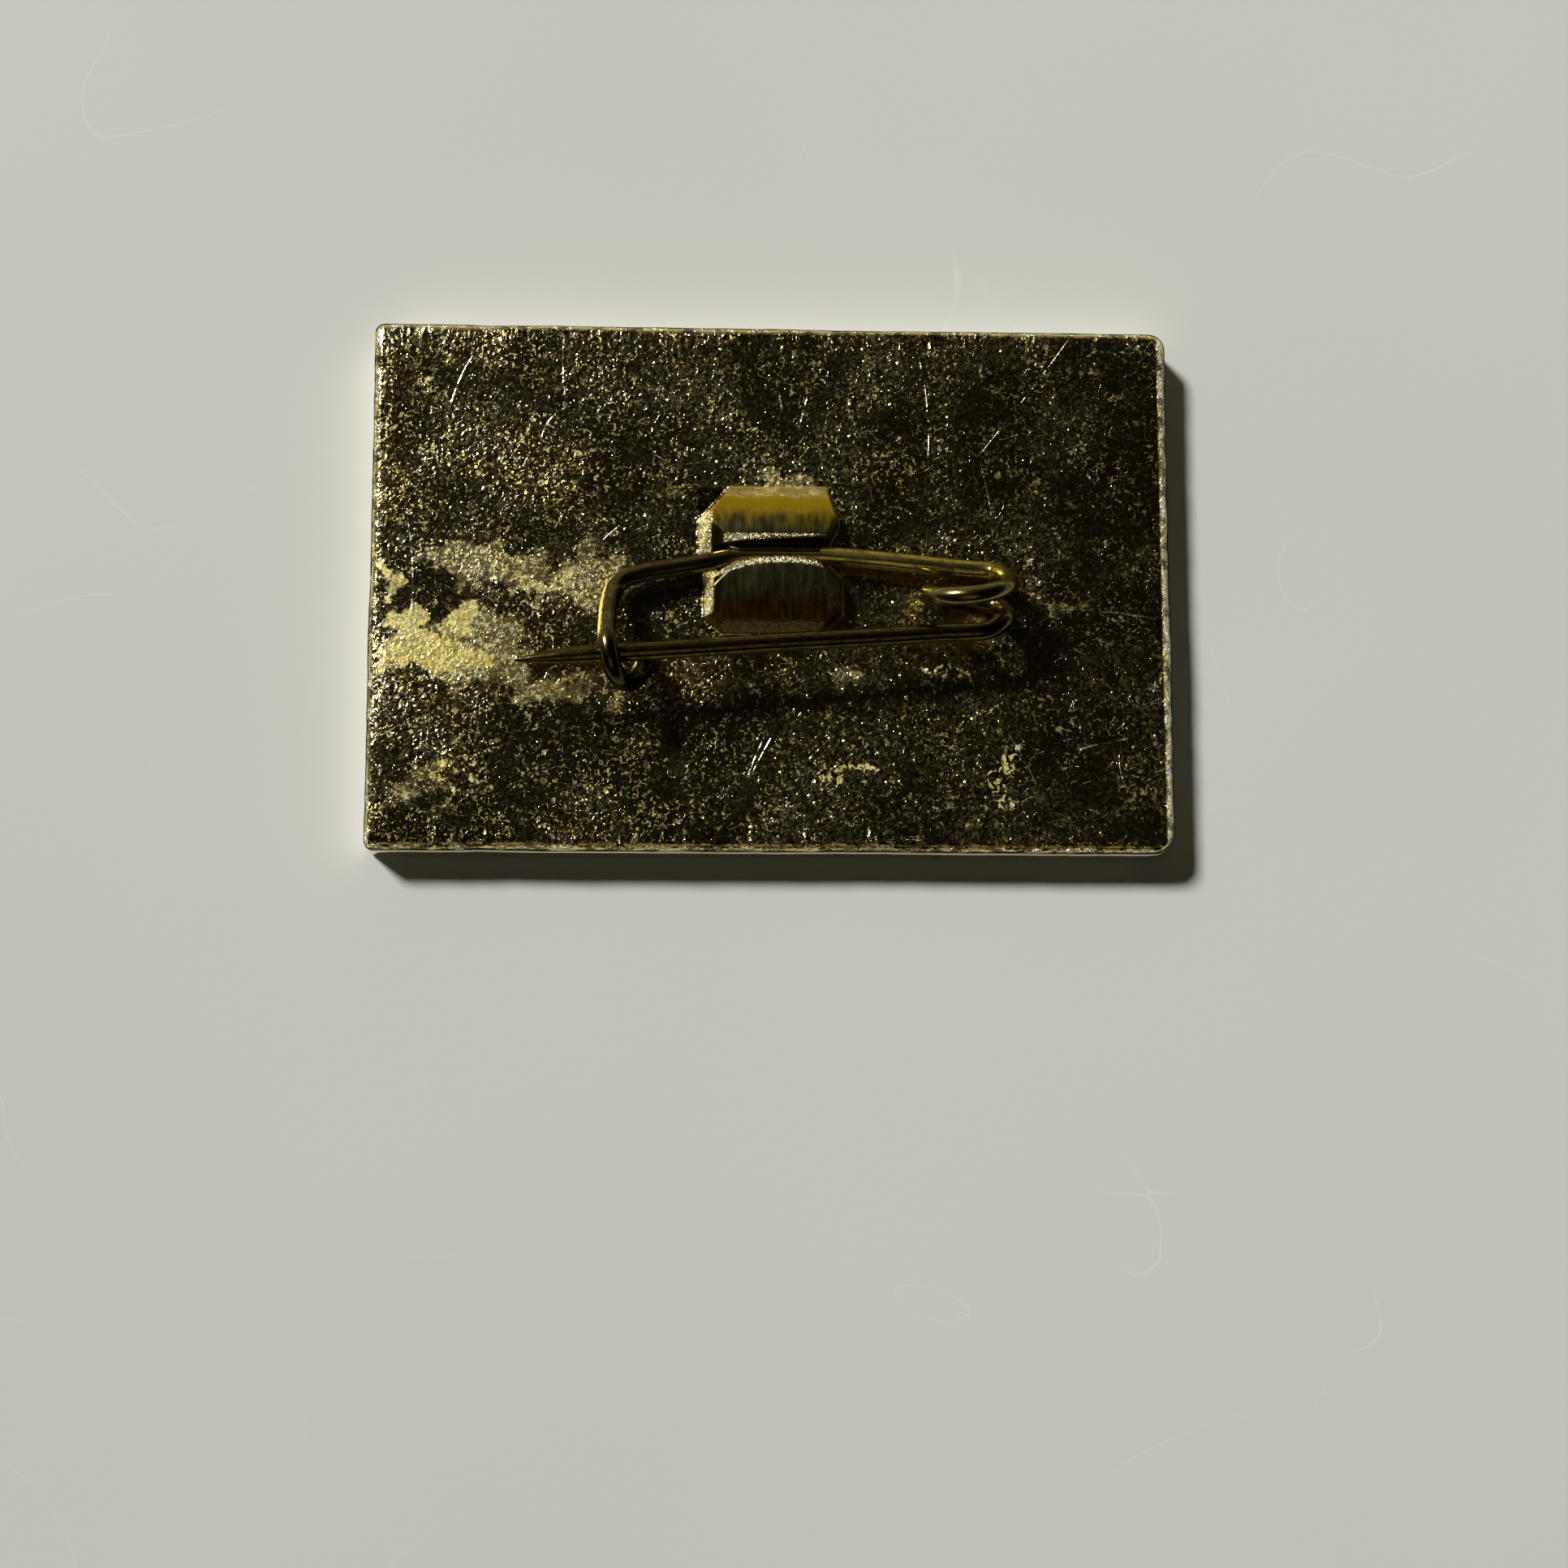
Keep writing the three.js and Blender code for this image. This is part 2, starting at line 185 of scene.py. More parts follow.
def torn_edge(x, y, seed):
    """How far a torn edge strays up and down."""
    return 0.07 * soft_noise(x, y, 0.17, seed) + 0.06 * soft_noise(x, y, 0.4, seed + 2)


def upper_crown(y):
    """Height of the upper lug's top, which curves down into the plate at its root."""
    return LUG_TOP * (1 - (np.clip(y - 1.75, 0, None) / 2.0) ** 2.2)


def upper_bevel_edge(x):
    return 1.44 + 0.065 * (x + 1.74)


def lower_bevel_edge(x):
    return 0.9 - 0.085 * (x - 0.35) ** 2


def upper_lug(x, y):
    """Height of the lug above the wire: a tongue bent up out of the plate, its root at its far end."""
    ragged = torn_edge(x, y, 11)
    wall = 0.9 + 1.7 * (y - upper_bevel_edge(x)) + 0.2 * ragged
    skin = lowest([over_wire(y), 0.87 + 5.0 * (y - WIRE_Y - 0.06)], CREASE / 3)
    surfaces = [
        upper_crown(y) + 0.012 * soft_noise(x, y, 0.5, 12),
        slope(x, y, (-2.36, 0), 0.82 + ragged, (2.0, 0)),
        LUG_TOP + 0.12 * np.clip(y - 1.73, -0.27, None),
        highest([wall, skin], CREASE / 3),
    ]
    return lowest(surfaces + [slope(x, y, *flat) for flat in UPPER_LUG_FLATS], CREASE)


def lower_lug(x, y):
    """Height of the lug below the wire, whose bevelled upper edge lies on the wire's lower half."""
    crown = LUG_TOP - 0.2 * (np.clip(0.3 - y, 0, None) / 1.85) ** 1.8
    edge = lower_bevel_edge(x)
    ragged = torn_edge(x, y, 21)
    surfaces = [
        crown + 0.01 * soft_noise(x, y, 0.6, 22),
        slope(x, y, (-2.24, 0), 0.78 + ragged, (2.4, 0)),
        0.7 + 1.3 * (y + 1.57) + 0.5 * ragged,
        0.3 + 6.0 * (y + 1.83),
        LUG_TOP - 0.24 * (y - edge + 0.26),
        0.87 - 5.0 * (y - edge),
    ]
    return lowest(surfaces + [slope(x, y, *flat) for flat in LOWER_LUG_FLATS], CREASE)


def depth_inside(x, y):
    """How far places are inside the plate's outline."""
    return np.minimum(HALF_X - np.abs(x), HALF_Y - np.abs(y))


def rounded_corners(x, y):
    """Moves the points of a plain rectangle so that its corners become arcs."""
    radius = np.where(x > 0, RIGHT_CORNER, LEFT_CORNER)
    across = np.abs(x) - (HALF_X - radius)
    up = np.abs(y) - (HALF_Y - radius)
    inside = (across > 0) & (up > 0)
    reach = np.where(inside, np.maximum(across, up) / np.maximum(np.hypot(across, up), 1e-9), 1)
    new_x = np.where(inside, np.sign(x) * (HALF_X - radius + across * reach), x)
    new_y = np.where(inside, np.sign(y) * (HALF_Y - radius + up * reach), y)
    return new_x, new_y


def shear_depth(along, period, fine_period, seed):
    """How far inwards a shear left the wall, along one pair of sides."""
    still = 0 * along
    coarse = 0.02 * soft_noise(along, still, period, seed)
    return DRAFT + coarse + 0.01 * soft_noise(along, still, fine_period, seed + 1)


def sheared_edge(x, y, depth):
    """Draws the outline in by a few hundredths, unevenly, as a shear does. One corner is dinged."""
    fade = 1 - ease(depth / SHEAR_REACH)
    side = 1 - ease((HALF_X - np.abs(x)) / SHEAR_REACH)
    end = 1 - ease((HALF_Y - np.abs(y)) / SHEAR_REACH)
    ding = 0.1 * np.exp(-((x - HALF_X) ** 2 + (y + HALF_Y) ** 2) / 0.35)
    new_x = x - np.sign(x) * side * fade * shear_depth(y, 2.1, 0.5, 31) - ding
    new_y = y - np.sign(y) * end * fade * shear_depth(x, 2.6, 0.6, 33) + ding
    return new_x, new_y


def dents(x, y):
    """Small round dents scattered over the back."""
    random = np.random.default_rng(41)
    depth = np.zeros_like(x)
    for _ in range(DENTS):
        place = random.uniform((-HALF_X, -HALF_Y), (HALF_X, HALF_Y))
        radius = random.uniform(0.12, 0.34)
        away = (x - place[0]) ** 2 + (y - place[1]) ** 2
        depth += random.uniform(-0.006, 0.008) * np.exp(-away / radius**2)
    return depth


def back_height(x, y, depth):
    """Height of the plate's back over the front rim's plane, lugs included."""
    rolled = np.clip(EDGE_ROLL - depth, 0, EDGE_ROLL)
    roll = EDGE_ROLL - np.sqrt(EDGE_ROLL**2 - rolled**2)
    uneven = 1 + 0.6 * soft_noise(x, y, 0.5, 51)
    sag = 0.05 * np.exp(-depth / 0.4) * uneven
    swell = 0.012 * soft_noise(x, y, 4.5, 52) + 0.005 * soft_noise(x, y, 1.3, 53)
    swell += 0.0025 * soft_noise(x, y, 0.45, 54)
    inner = ease((depth - EDGE_ROLL) / 0.5)
    plain = BACK - roll - sag - 0.006 + inner * (swell - dents(x, y))
    return highest([plain, BACK + upper_lug(x, y), BACK + lower_lug(x, y)], CREASE)


def spaced(*stops):
    """Grid lines through (place, step) stops, where each step holds up to the next place."""
    lines = []
    for (start, step), (end, _) in zip(stops, stops[1:]):
        count = max(1, round((end - start) / step))
        lines.extend(start + (end - start) * i / count for i in range(count))
    return lines


def edge_lines(half, *stops):
    """Grid lines from edge to edge: close together over the rolled edges, then as the stops say."""
    roll = [EDGE_ROLL * (1 - math.cos(math.radians(turn))) for turn in range(0, 90, 15)]
    inner = half - EDGE_ROLL
    middle = spaced((-inner, PLAIN_STEP), *stops, (inner, 0))
    far_roll = [half - depth for depth in (EDGE_ROLL, *roll[::-1])]
    return np.array([depth - half for depth in roll] + middle + far_roll)


def plate_mesh():
    """The plate as one closed mesh: a grid over the back, rings down its sides and a flat front."""
    x_lines = edge_lines(HALF_X, (-2.9, LUG_STEP), (2.7, PLAIN_STEP))
    y_lines = edge_lines(HALF_Y, (-2.0, LUG_STEP), (3.9, PLAIN_STEP))
    x, y = np.meshgrid(x_lines, y_lines, indexing="ij")
    depth = depth_inside(x, y)
    placed_x, placed_y = sheared_edge(*rounded_corners(x, y), depth)
    z = back_height(placed_x, placed_y, depth)
    index = np.arange(x.size).reshape(x.shape)
    faces = np.stack(
        [index[:-1, :-1], index[1:, :-1], index[1:, 1:], index[:-1, 1:]], -1
    ).reshape(-1, 4)
    points = [np.stack([placed_x, placed_y, z], -1).reshape(-1, 3)]

    rim = np.concatenate([index[:-1, 0], index[-1, :-1], index[:0:-1, -1], index[0, :0:-1]])
    top = points[0][rim]
    turns = np.radians(np.arange(0, 91, 18))
    rings = [(-0.4 * DRAFT, 0.85 * BACK), (-0.8 * DRAFT, 0.55 * BACK)]
    rings += [(EDGE_ROLL * (1 - math.cos(t)) - DRAFT, EDGE_ROLL * (1 - math.sin(t))) for t in turns]
    inwards = inward_steps(top)
    limit = np.array([HALF_X, HALF_Y]) - CLEARANCE
    walls = []
    last, count = rim, len(rim)
    for number, (inward, level) in enumerate(rings):
        ring = np.clip(top[:, :2] + inwards * inward, -limit, limit)
        points.append(np.column_stack([ring, np.full(count, level)]))
        this = x.size + number * count + np.arange(count)
        walls.append(np.stack([last, this, np.roll(this, -1), np.roll(last, -1)], -1))
        last = this
    everything = [face.tolist() for face in np.concatenate([faces, *walls])]
    everything.append(last[::-1].tolist())
    return mesh_of("plate", np.concatenate(points), everything)


def inward_steps(rim):
    """For each rim point, a millimetre's step straight inwards from it."""
    before, after = np.roll(rim, 1, 0), np.roll(rim, -1, 0)
    along = (after - before)[:, :2]
    along /= np.linalg.norm(along, axis=1)[:, None]
    return np.column_stack([-along[:, 1], along[:, 0]])


# ---- meshes ----


def mesh_of(name, points, faces):
    """A mesh in metres from points in millimetres."""
    mesh = bpy.data.meshes.new(name)
    mesh.from_pydata((np.asarray(points) * MM).tolist(), [], faces)
    mesh.validate()
    mesh.update()
    return mesh


def object_of(name, mesh):
    made = bpy.data.objects.new(name, mesh)
    bpy.context.scene.collection.objects.link(made)
    return made


def read(items, name, width, kind=float):
    """One property of all the points, edges or faces of a mesh, a row for each."""
    values = np.zeros(len(items) * width, kind)
    items.foreach_get(name, values)
    return values.reshape(-1, width)


def face_facts(mesh):
    """The middle of each face in millimetres, and its normal."""
    return read(mesh.polygons, "center", 3) / MM, read(mesh.polygons, "normal", 3)


def smooth_over(mesh, sharp_deg):
    """Smooth shading, but for edges that turn by more than an angle."""
    mesh.shade_smooth()
    mesh.set_sharp_from_angle(angle=math.radians(sharp_deg))


def cut_away(mesh, cutters):
    """A mesh with other closed meshes cut out of it."""
    body = object_of("body", mesh)
    tools = []
    for cutter in cutters:
        tool = object_of("cutter", cutter)
        modifier = body.modifiers.new("cut", "BOOLEAN")
        modifier.operation = "DIFFERENCE"
        modifier.solver = "MANIFOLD"
        modifier.object = tool
        tools.append(tool)
    graph = bpy.context.evaluated_depsgraph_get()
    made = bpy.data.meshes.new_from_object(body.evaluated_get(graph), depsgraph=graph)
    for used in [body, *tools]:
        bpy.data.objects.remove(used)
    return made


def add_attribute(mesh, name, values):
    """Stores a number, or a vector, for each point of a mesh."""
    vector = np.ndim(values) == 2
    kind = "FLOAT_VECTOR" if vector else "FLOAT"
    attribute = mesh.attributes.new(name, kind, "POINT")
    attribute.data.foreach_set("vector" if vector else "value", np.ravel(values).astype(np.float32))


# ---- cells and their enamel ----


class CellPlan:
    """The outline of an enamel fill, read from the lower face of its CAD node."""

    def __init__(self, node):
        plan = bmesh.new()
        plan.from_mesh(nodes[node].data)
        bmesh.ops.remove_doubles(plan, verts=plan.verts, dist=WELD * MM)
        low = min(v.co.z for v in plan.verts)
        high = [v for v in plan.verts if v.co.z > low + 1e-5]
        bmesh.ops.delete(plan, geom=high, context="VERTS")
        plan.verts.index_update()
        self.points = np.array([v.co[:2] for v in plan.verts]) / MM
        self.rim = [
            (loop.vert.index, loop.link_loop_next.vert.index)
            for face in plan.faces
            for loop in face.loops
            if len(loop.edge.link_faces) == 1
        ]
        plan.free()
        self.low = low / MM
        self.mitres = self.find_mitres()
        self.faces = self.triangles()
        self.inward = self.find_inward()

    def find_mitres(self):
        """How far each rim point moves when the outline grows by one millimetre."""
        normals = {}
        for start, end in self.rim:
            step = self.points[end] - self.points[start]
            outward = np.array([-step[1], step[0]]) / np.hypot(*step)
            normals.setdefault(start, []).append(outward)
            normals.setdefault(end, []).append(outward)
        mitres = np.zeros_like(self.points)
        for point, (one, other) in normals.items():
            mitres[point] = (one + other) / (1 + one @ other)
        return mitres

    def find_inward(self):
        """The mitres, shortened wherever a triangle would turn over as the outline shrinks."""
        inward = self.mitres.copy()
        for _ in range(UNFOLD_ROUNDS):
            shrunk = self.points - DISH_RIM * inward
            for face in self.faces:
                first, second, third = shrunk[face]
                one, other = second - first, third - first
                if one[0] * other[1] - one[1] * other[0] >= 0:
                    inward[face] *= UNFOLD_STEP
        return inward

    def holds(self, place):
        """Whether a place is inside the outline: the rim passes it an odd number of times on one side."""
        crossings = 0
        for start, end in self.rim:
            (x1, y1), (x2, y2) = self.points[start], self.points[end]
            if (y1 > place[1]) != (y2 > place[1]):
                crossings += x1 + (place[1] - y1) * (x2 - x1) / (y2 - y1) > place[0]
        return crossings % 2 == 1

    def triangles(self):
        """The outline filled with triangles as plump as they can be, looking down."""
        rim = sorted({point for edge in self.rim for point in edge})
        number = {point: position for position, point in enumerate(rim)}
        corners = [Vector(self.points[point]) for point in rim]
        edges = [(number[start], number[end]) for start, end in self.rim]
        filled = delaunay_2d_cdt(corners, edges, [], 0, 1e-7)
        source = [rim[found[0]] for found in filled[3]]
        triangles = [[source[v] for v in face[::-1]] for face in filled[2]]
        return [face for face in triangles if self.holds(self.points[face].mean(0))]

    def stacked(self, name, levels):
        """A closed mesh whose outline grows by an offset at each (height, offset) level, going up."""
        count = len(self.points)
        points = []
        for height, offset in levels:
            moves = self.mitres if offset > 0 else self.inward
            points.append(np.column_stack([self.points + moves * offset, np.full(count, height)]))
        faces = list(self.faces)
        for level in range(len(levels) - 1):
            lower, upper = level * count, (level + 1) * count
            faces += [[lower + b, lower + a, upper + a, upper + b] for a, b in self.rim]
        top = (len(levels) - 1) * count
        faces += [[top + v for v in face[::-1]] for face in self.faces]
        return used_points_only(name, np.concatenate(points), faces)


def used_points_only(name, points, faces):
    """A mesh without the points that no face uses."""
    used = sorted({v for face in faces for v in face})
    place = {old: new for new, old in enumerate(used)}
    return mesh_of(name, points[used], [[place[v] for v in face] for face in faces])


# Heights, and how far the outline grows or shrinks there: cutters from the front's plane, fills from
# their own lower face.
CUTTER_LEVELS = [(-0.1, 0.05), (0, 0.05), (0.014, 0.022), (0.04, 0.006), (0.08, 0), (CELL_DEPTH, 0)]
DISH_LEVELS = [(0.03, -DISH_RIM), (0.022, -0.07), (0.006, -0.03), (0, 0)]


def cell_cutter(plan):
    """The space of a cell, a little wider at its mouth, so that the lines have rounded edges."""
    levels = [(height, CELL_GAP + offset) for height, offset in CUTTER_LEVELS]
    return plan.stacked("cell", levels)


def enamel_mesh(plan, name):
    """A fill that climbs its cell's walls: highest at the rim, and a shallow dish inside."""
    levels = [(plan.low + height, offset) for height, offset in DISH_LEVELS]
    return plan.stacked(name, [*levels, (CELL_DEPTH - CELL_GAP, 0)])


# ---- the wire ----

HOOK_ROUTE = [
    (-4.67, -2.98, 1.2),
    (-4.79, -3.51, 1.26),
    (-5.05, -3.97, 1.6),
    (-5.42, -4.19, 2.2),
    (-5.74, -4.02, 2.85),
    (-5.94, -3.53, 3.24),
    (-6.05, -2.87, 3.22),
    (-6.07, -2.14, 2.65),
    (-6.02, -1.19, 1.75),
    (-5.84, -0.42, 1.1),
    (-5.45, -0.04, 0.92),
]
ARM_ROUTE = [
    (-4.91, 0.17, 0.85),
    (-2.8, 0.6, 0.65),
    (-1.4, 0.92, 0.52),
    (0.1, 1.0, 0.5),
    (1.74, 1.0, 0.51),
    (3.26, 0.88, 0.6),
    (5.06, 0.69, 0.72),
    (6.7, 0.52, 0.74),
]
NEEDLE_ROUTE = [
    (6.08, -2.25, 2.07),
    (3.73, -2.44, 2.16),
    (-0.14, -2.72, 2.31),
    (-2.72, -2.94, 2.4),
    (-6.04, -3.2, 2.5),
    (-9.4, -3.5, 2.6),
]
COIL_X, COIL_HEIGHT = 7.12, 1.93
COIL_RADIUS_X, COIL_RADIUS_Z = 1.52, 1.48
COIL_PITCH, COIL_LEAN, COIL_SIDE = 1.1, 0.42, 0.05
COIL_START, COIL_STEPS = 0.12, 20
RETURN_RADIUS, RETURN_SHIFT, RETURN_SIDE, RETURN_STEPS = 0.78, 0.72, 0.15, 6


def coil_point(turns):
    """A point of the coil: its angle counts from the lowest point, rising at +X first."""
    angle = turns * 2 * math.pi
    height = COIL_HEIGHT - COIL_RADIUS_Z * math.cos(angle)
    y = COIL_SIDE - COIL_PITCH * turns - COIL_LEAN * (height - COIL_HEIGHT)
    return (COIL_X + COIL_RADIUS_X * math.sin(angle), y, height)


def return_point(share):
    """The tighter last half turn, from the coil's lowest point back to the needle."""
    angle = share * math.pi
    low = coil_point(1)
    start, end = low[1] - RETURN_SIDE, NEEDLE_ROUTE[0][1] + RETURN_SIDE
    x = COIL_X + RETURN_SHIFT + RETURN_RADIUS * math.sin(angle)
    return (x, start + (end - start) * share, low[2] + RETURN_RADIUS * (1 - math.cos(angle)))


def coil_route():
    steps = range(int(COIL_STEPS * (1 - COIL_START)) + 1)
    turns = [coil_point(COIL_START + i / COIL_STEPS) for i in steps]
    return turns + [return_point(i / RETURN_STEPS) for i in range(1, RETURN_STEPS + 1)]


def through(points):
    """Points of a smooth curve through a route, bending as a springy wire does."""
    route = np.array(points, float)
    route[:, 2] += BACK
    route = np.vstack([2 * route[0] - route[1], route, 2 * route[-1] - route[-2]])
    curve = []
    for before, start, end, after in zip(route, route[1:], route[2:], route[3:]):
        gap_in, gap, gap_out = (
            math.sqrt(np.linalg.norm(b - a))
            for a, b in ((before, start), (start, end), (end, after))
        )
        leave = (start - before) / gap_in - (end - before) / (gap_in + gap) + (end - start) / gap
        reach = (end - start) / gap - (after - start) / (gap + gap_out) + (after - end) / gap_out
        leave, reach = leave * gap, reach * gap
        for t in np.arange(CURVE_DENSITY) / CURVE_DENSITY:
            curve.append(
                (2 * t**3 - 3 * t**2 + 1) * start
                + (t**3 - 2 * t**2 + t) * leave
                + (3 * t**2 - 2 * t**3) * end
                + (t**3 - t**2) * reach
            )
    return np.array([*curve, route[-2]])


def distances_along(curve):
    return np.concatenate([[0], np.cumsum(np.linalg.norm(np.diff(curve, axis=0), axis=1))])


def evenly(curve, step, start=0.0, end=None):
    """Evenly spaced points of a curve between two distances along it, and those distances."""
    lengths = distances_along(curve)
    end = lengths[-1] if end is None else end
    places = np.linspace(start, end, max(2, round((end - start) / step) + 1))
    return np.column_stack([np.interp(places, lengths, curve[:, i]) for i in range(3)]), places


def ring_frames(path):
    """Two directions across the path at each point, carried along it without twisting."""
    ahead = np.gradient(path, axis=0)
    ahead /= np.linalg.norm(ahead, axis=1)[:, None]
    side = np.cross(ahead[0], (0, 0, 1.0))
    side /= np.linalg.norm(side)
    sides = []
    for direction in ahead:
        side = side - direction * (side @ direction)
        side /= np.linalg.norm(side)
        sides.append(side)
    sides = np.array(sides)
    return sides, np.cross(ahead, sides), ahead


def wire_mesh(name, path, places, radii, round_start=False):
    """A closed round wire along a path. Each point keeps its place on the wire for its finish."""
    sides, ups, ahead = ring_frames(path)
    if round_start:
        turns = np.radians(np.arange(75, 0, -15))
        lead = path[0] - ahead[0] * (radii[0] * 0.8 * np.sin(turns))[:, None]
        path = np.vstack([lead, path])
        places = np.concatenate([places[0] - radii[0] * np.sin(turns), places])
        radii = np.concatenate([radii[0] * np.cos(turns), radii])
        repeat = len(turns)
        sides = np.vstack([np.repeat(sides[:1], repeat, 0), sides])
        ups = np.vstack([np.repeat(ups[:1], repeat, 0), ups])
    angles = np.arange(WIRE_SIDES) * 2 * math.pi / WIRE_SIDES
    cosine, sine = np.cos(angles), np.sin(angles)
    along, around = np.meshgrid(places, angles, indexing="ij")
    worn = 1 + 0.012 * soft_noise(along, np.cos(around), 0.45, 71)
    worn += 0.008 * soft_noise(along, np.sin(around), 0.21, 72)
    reach = radii[:, None] * np.minimum(worn, 1.0)
    points = (
        path[:, None]
        + sides[:, None] * (cosine * reach)[..., None]
        + ups[:, None] * (sine * reach)[..., None]
    ).reshape(-1, 3)
    index = np.arange(len(points)).reshape(-1, WIRE_SIDES)
    after = np.roll(index, -1, 1)
    skin = np.stack([index[:-1], after[:-1], after[1:], index[1:]], -1).reshape(-1, 4).tolist()
    mesh = mesh_of(name, points, [*skin, index[0, ::-1].tolist(), index[-1].tolist()])
    grain = np.stack([cosine * reach, sine * reach, along], -1).reshape(-1, 3)
    add_attribute(mesh, "drawn", grain)
    smooth_over(mesh, 50)
    return mesh


def tip_radii(places, end):
    """The wire's radius, which tapers over its last stretch to a ground point."""
    left = np.clip((end - places) / TIP_LENGTH, 0, 1)
    taper = [TIP_RADIUS, 0.5 * WIRE_RADIUS, 0.84 * WIRE_RADIUS, WIRE_RADIUS]
    return np.interp(left, [0, 0.25, 0.6, 1], taper)


# ---- materials ----


class Graph:
    """A node tree under construction. Its methods take sockets or numbers and give back sockets."""

    def __init__(self, tree):
        self.tree = tree

    def node(self, kind, **settings):
        made = self.tree.nodes.new(kind)
        for name, value in settings.items():
            setattr(made, name, value)
        return made

    def feed(self, socket, value):
        if isinstance(value, bpy.types.NodeSocket):
            self.tree.links.new(value, socket)
        else:
            socket.default_value = value

    def math(self, operation, *values):
        made = self.node("ShaderNodeMath", operation=operation)
        for socket, value in zip(made.inputs, values):
            self.feed(socket, value)
        return made.outputs[0]

    def fold(self, operation, first, *others):
        for other in others:
            first = self.math(operation, first, other)
        return first

    def add(self, *values):
        return self.fold("ADD", *values)

    def times(self, *values):
        return self.fold("MULTIPLY", *values)

    def largest(self, *values):
        return self.fold("MAXIMUM", *values)

    def minus(self, one, other):
        return self.math("SUBTRACT", one, other)

    def size(self, value):
        return self.math("ABSOLUTE", value)

    def swing(self, pattern, amount):
        """A 0 to 1 pattern as a height that goes up and down by half an amount."""
        return self.times(self.minus(pattern, 0.5), amount)

    def vector(self, operation, *values, output=0, scale=1.0):
        made = self.node("ShaderNodeVectorMath", operation=operation)
        self.feed(made.inputs[3], scale)
        for socket, value in zip(made.inputs, values):
            self.feed(socket, value)
        return made.outputs[output]

    def dot(self, one, other):
        return self.vector("DOT_PRODUCT", one, other, output=1)

    def parts(self, vector):
        split = self.node("ShaderNodeSeparateXYZ")
        self.feed(split.inputs[0], vector)
        return split.outputs

    def place(self):
        """The surface's place in millimetres in the shared frame."""
        at = self.node("ShaderNodeTexCoord").outputs["Object"]
        return self.vector("MULTIPLY", at, (1 / MM,) * 3)

    def attribute(self, name, output="Fac"):
        return self.node("ShaderNodeAttribute", attribute_name=name).outputs[output]

    def noise(self, at, scale, detail=2.0, roughness=0.5, distortion=0.0, output="Fac"):
        made = self.node("ShaderNodeTexNoise", noise_dimensions="3D")
        self.feed(made.inputs["Vector"], at)
        names = ("Scale", "Detail", "Roughness", "Distortion")
        for name, value in zip(names, (scale, detail, roughness, distortion)):
            made.inputs[name].default_value = value
        return made.outputs[output]

    def pimples(self, at, scale, share, reach=0.4):
        """Round bumps of height 0 to 1 scattered at random, on a share of the spots of a loose grid."""
        spots = self.node("ShaderNodeTexVoronoi", feature="F1")
        self.feed(spots.inputs["Vector"], at)
        spots.inputs["Scale"].default_value = scale
        random = self.node("ShaderNodeSeparateColor")
        self.feed(random.inputs[0], spots.outputs["Color"])
        chosen = self.math("LESS_THAN", random.outputs[0], share)
        tall = self.between(random.outputs[1], 0, 1, 0.35, 1.0)
        return self.times(chosen, tall, self.between(spots.outputs["Distance"], reach, 0.0))

    def between(self, value, low, high, to_low=0.0, to_high=1.0):
        """The value carried smoothly from low...high to to_low...to_high."""
        made = self.node("ShaderNodeMapRange", interpolation_type="SMOOTHSTEP")
        names = ("Value", "From Min", "From Max", "To Min", "To Max")
        for name, number in zip(names, (value, low, high, to_low, to_high)):
            self.feed(made.inputs[name], number)
        return made.outputs["Result"]

    def blend(self, share, one, other):
        """A number or colour that goes from one to the other as the share goes from 0 to 1."""
        colour = isinstance(one, (tuple, bpy.types.NodeSocketColor))
        made = self.node("ShaderNodeMix", data_type="RGBA" if colour else "FLOAT")
        first = 6 if colour else 2
        self.feed(made.inputs[0], share)
        self.feed(made.inputs[first], with_alpha(one))
        self.feed(made.inputs[first + 1], with_alpha(other))
        return made.outputs[2 if colour else 0]

    def blob(self, at, middle, reach):
        """1 at the middle of an ellipse, falling to 0 at its rim."""
        offset = self.vector("SUBTRACT", at, (*middle, 0))
        scaled = self.vector("MULTIPLY", offset, (1 / reach[0], 1 / reach[1], 0))
        distance = self.vector("LENGTH", scaled, output=1)
        return self.between(distance, 1.0, 0.0)

    def scratch(self, at, start, end, width, bow):
        """1 on a fine line from start to end that bows sideways by a distance, 0 away from it."""
        start, end = Vector((*start, 0)), Vector((*end, 0))
        along = end - start
        across = Vector((-along.y, along.x, 0)).normalized()
        offset = self.vector("SUBTRACT", at, tuple(start))
        aside = self.dot(offset, tuple(across))
        centred = self.minus(self.dot(offset, tuple(along / along.length_squared)), 0.5)
        arch = self.math("MULTIPLY_ADD", self.times(centred, centred), 4 * bow, -bow)
        distance = self.size(self.add(aside, arch))
        line = self.between(distance, width, width * 0.2)
        return self.times(line, self.between(self.size(centred), 0.5, 0.42))


class Look(Graph):
    """A material and its node tree."""

    def __init__(self, name):
        self.material = bpy.data.materials.new(name)
        self.material.use_nodes = True
        super().__init__(self.material.node_tree)
        self.shader = self.tree.nodes["Principled BSDF"]

    def nicks(self, at, low, high):
        """Dirty nicks in the edges, which run on from the back to the wall."""
        return self.between(self.noise(at, 1.7, 4.0, 0.7), low, high)

    def raised(self, height):
        """Bends the shader's normal by a height in millimetres."""
        bump = self.node("ShaderNodeBump")
        bump.inputs["Strength"].default_value = 1.0
        bump.inputs["Distance"].default_value = MM
        self.feed(bump.inputs["Height"], height)
        self.feed(self.shader.inputs["Normal"], bump.outputs["Normal"])

    def set(self, **values):
        for name, value in values.items():
            socket = self.shader.inputs[name.replace("_", " ").title().replace("Ior", "IOR")]
            self.feed(socket, with_alpha(value))


def with_alpha(value):
    """A colour with its fourth number. Sockets and plain numbers stay as they are."""
    return (*value, 1.0) if isinstance(value, tuple) else value
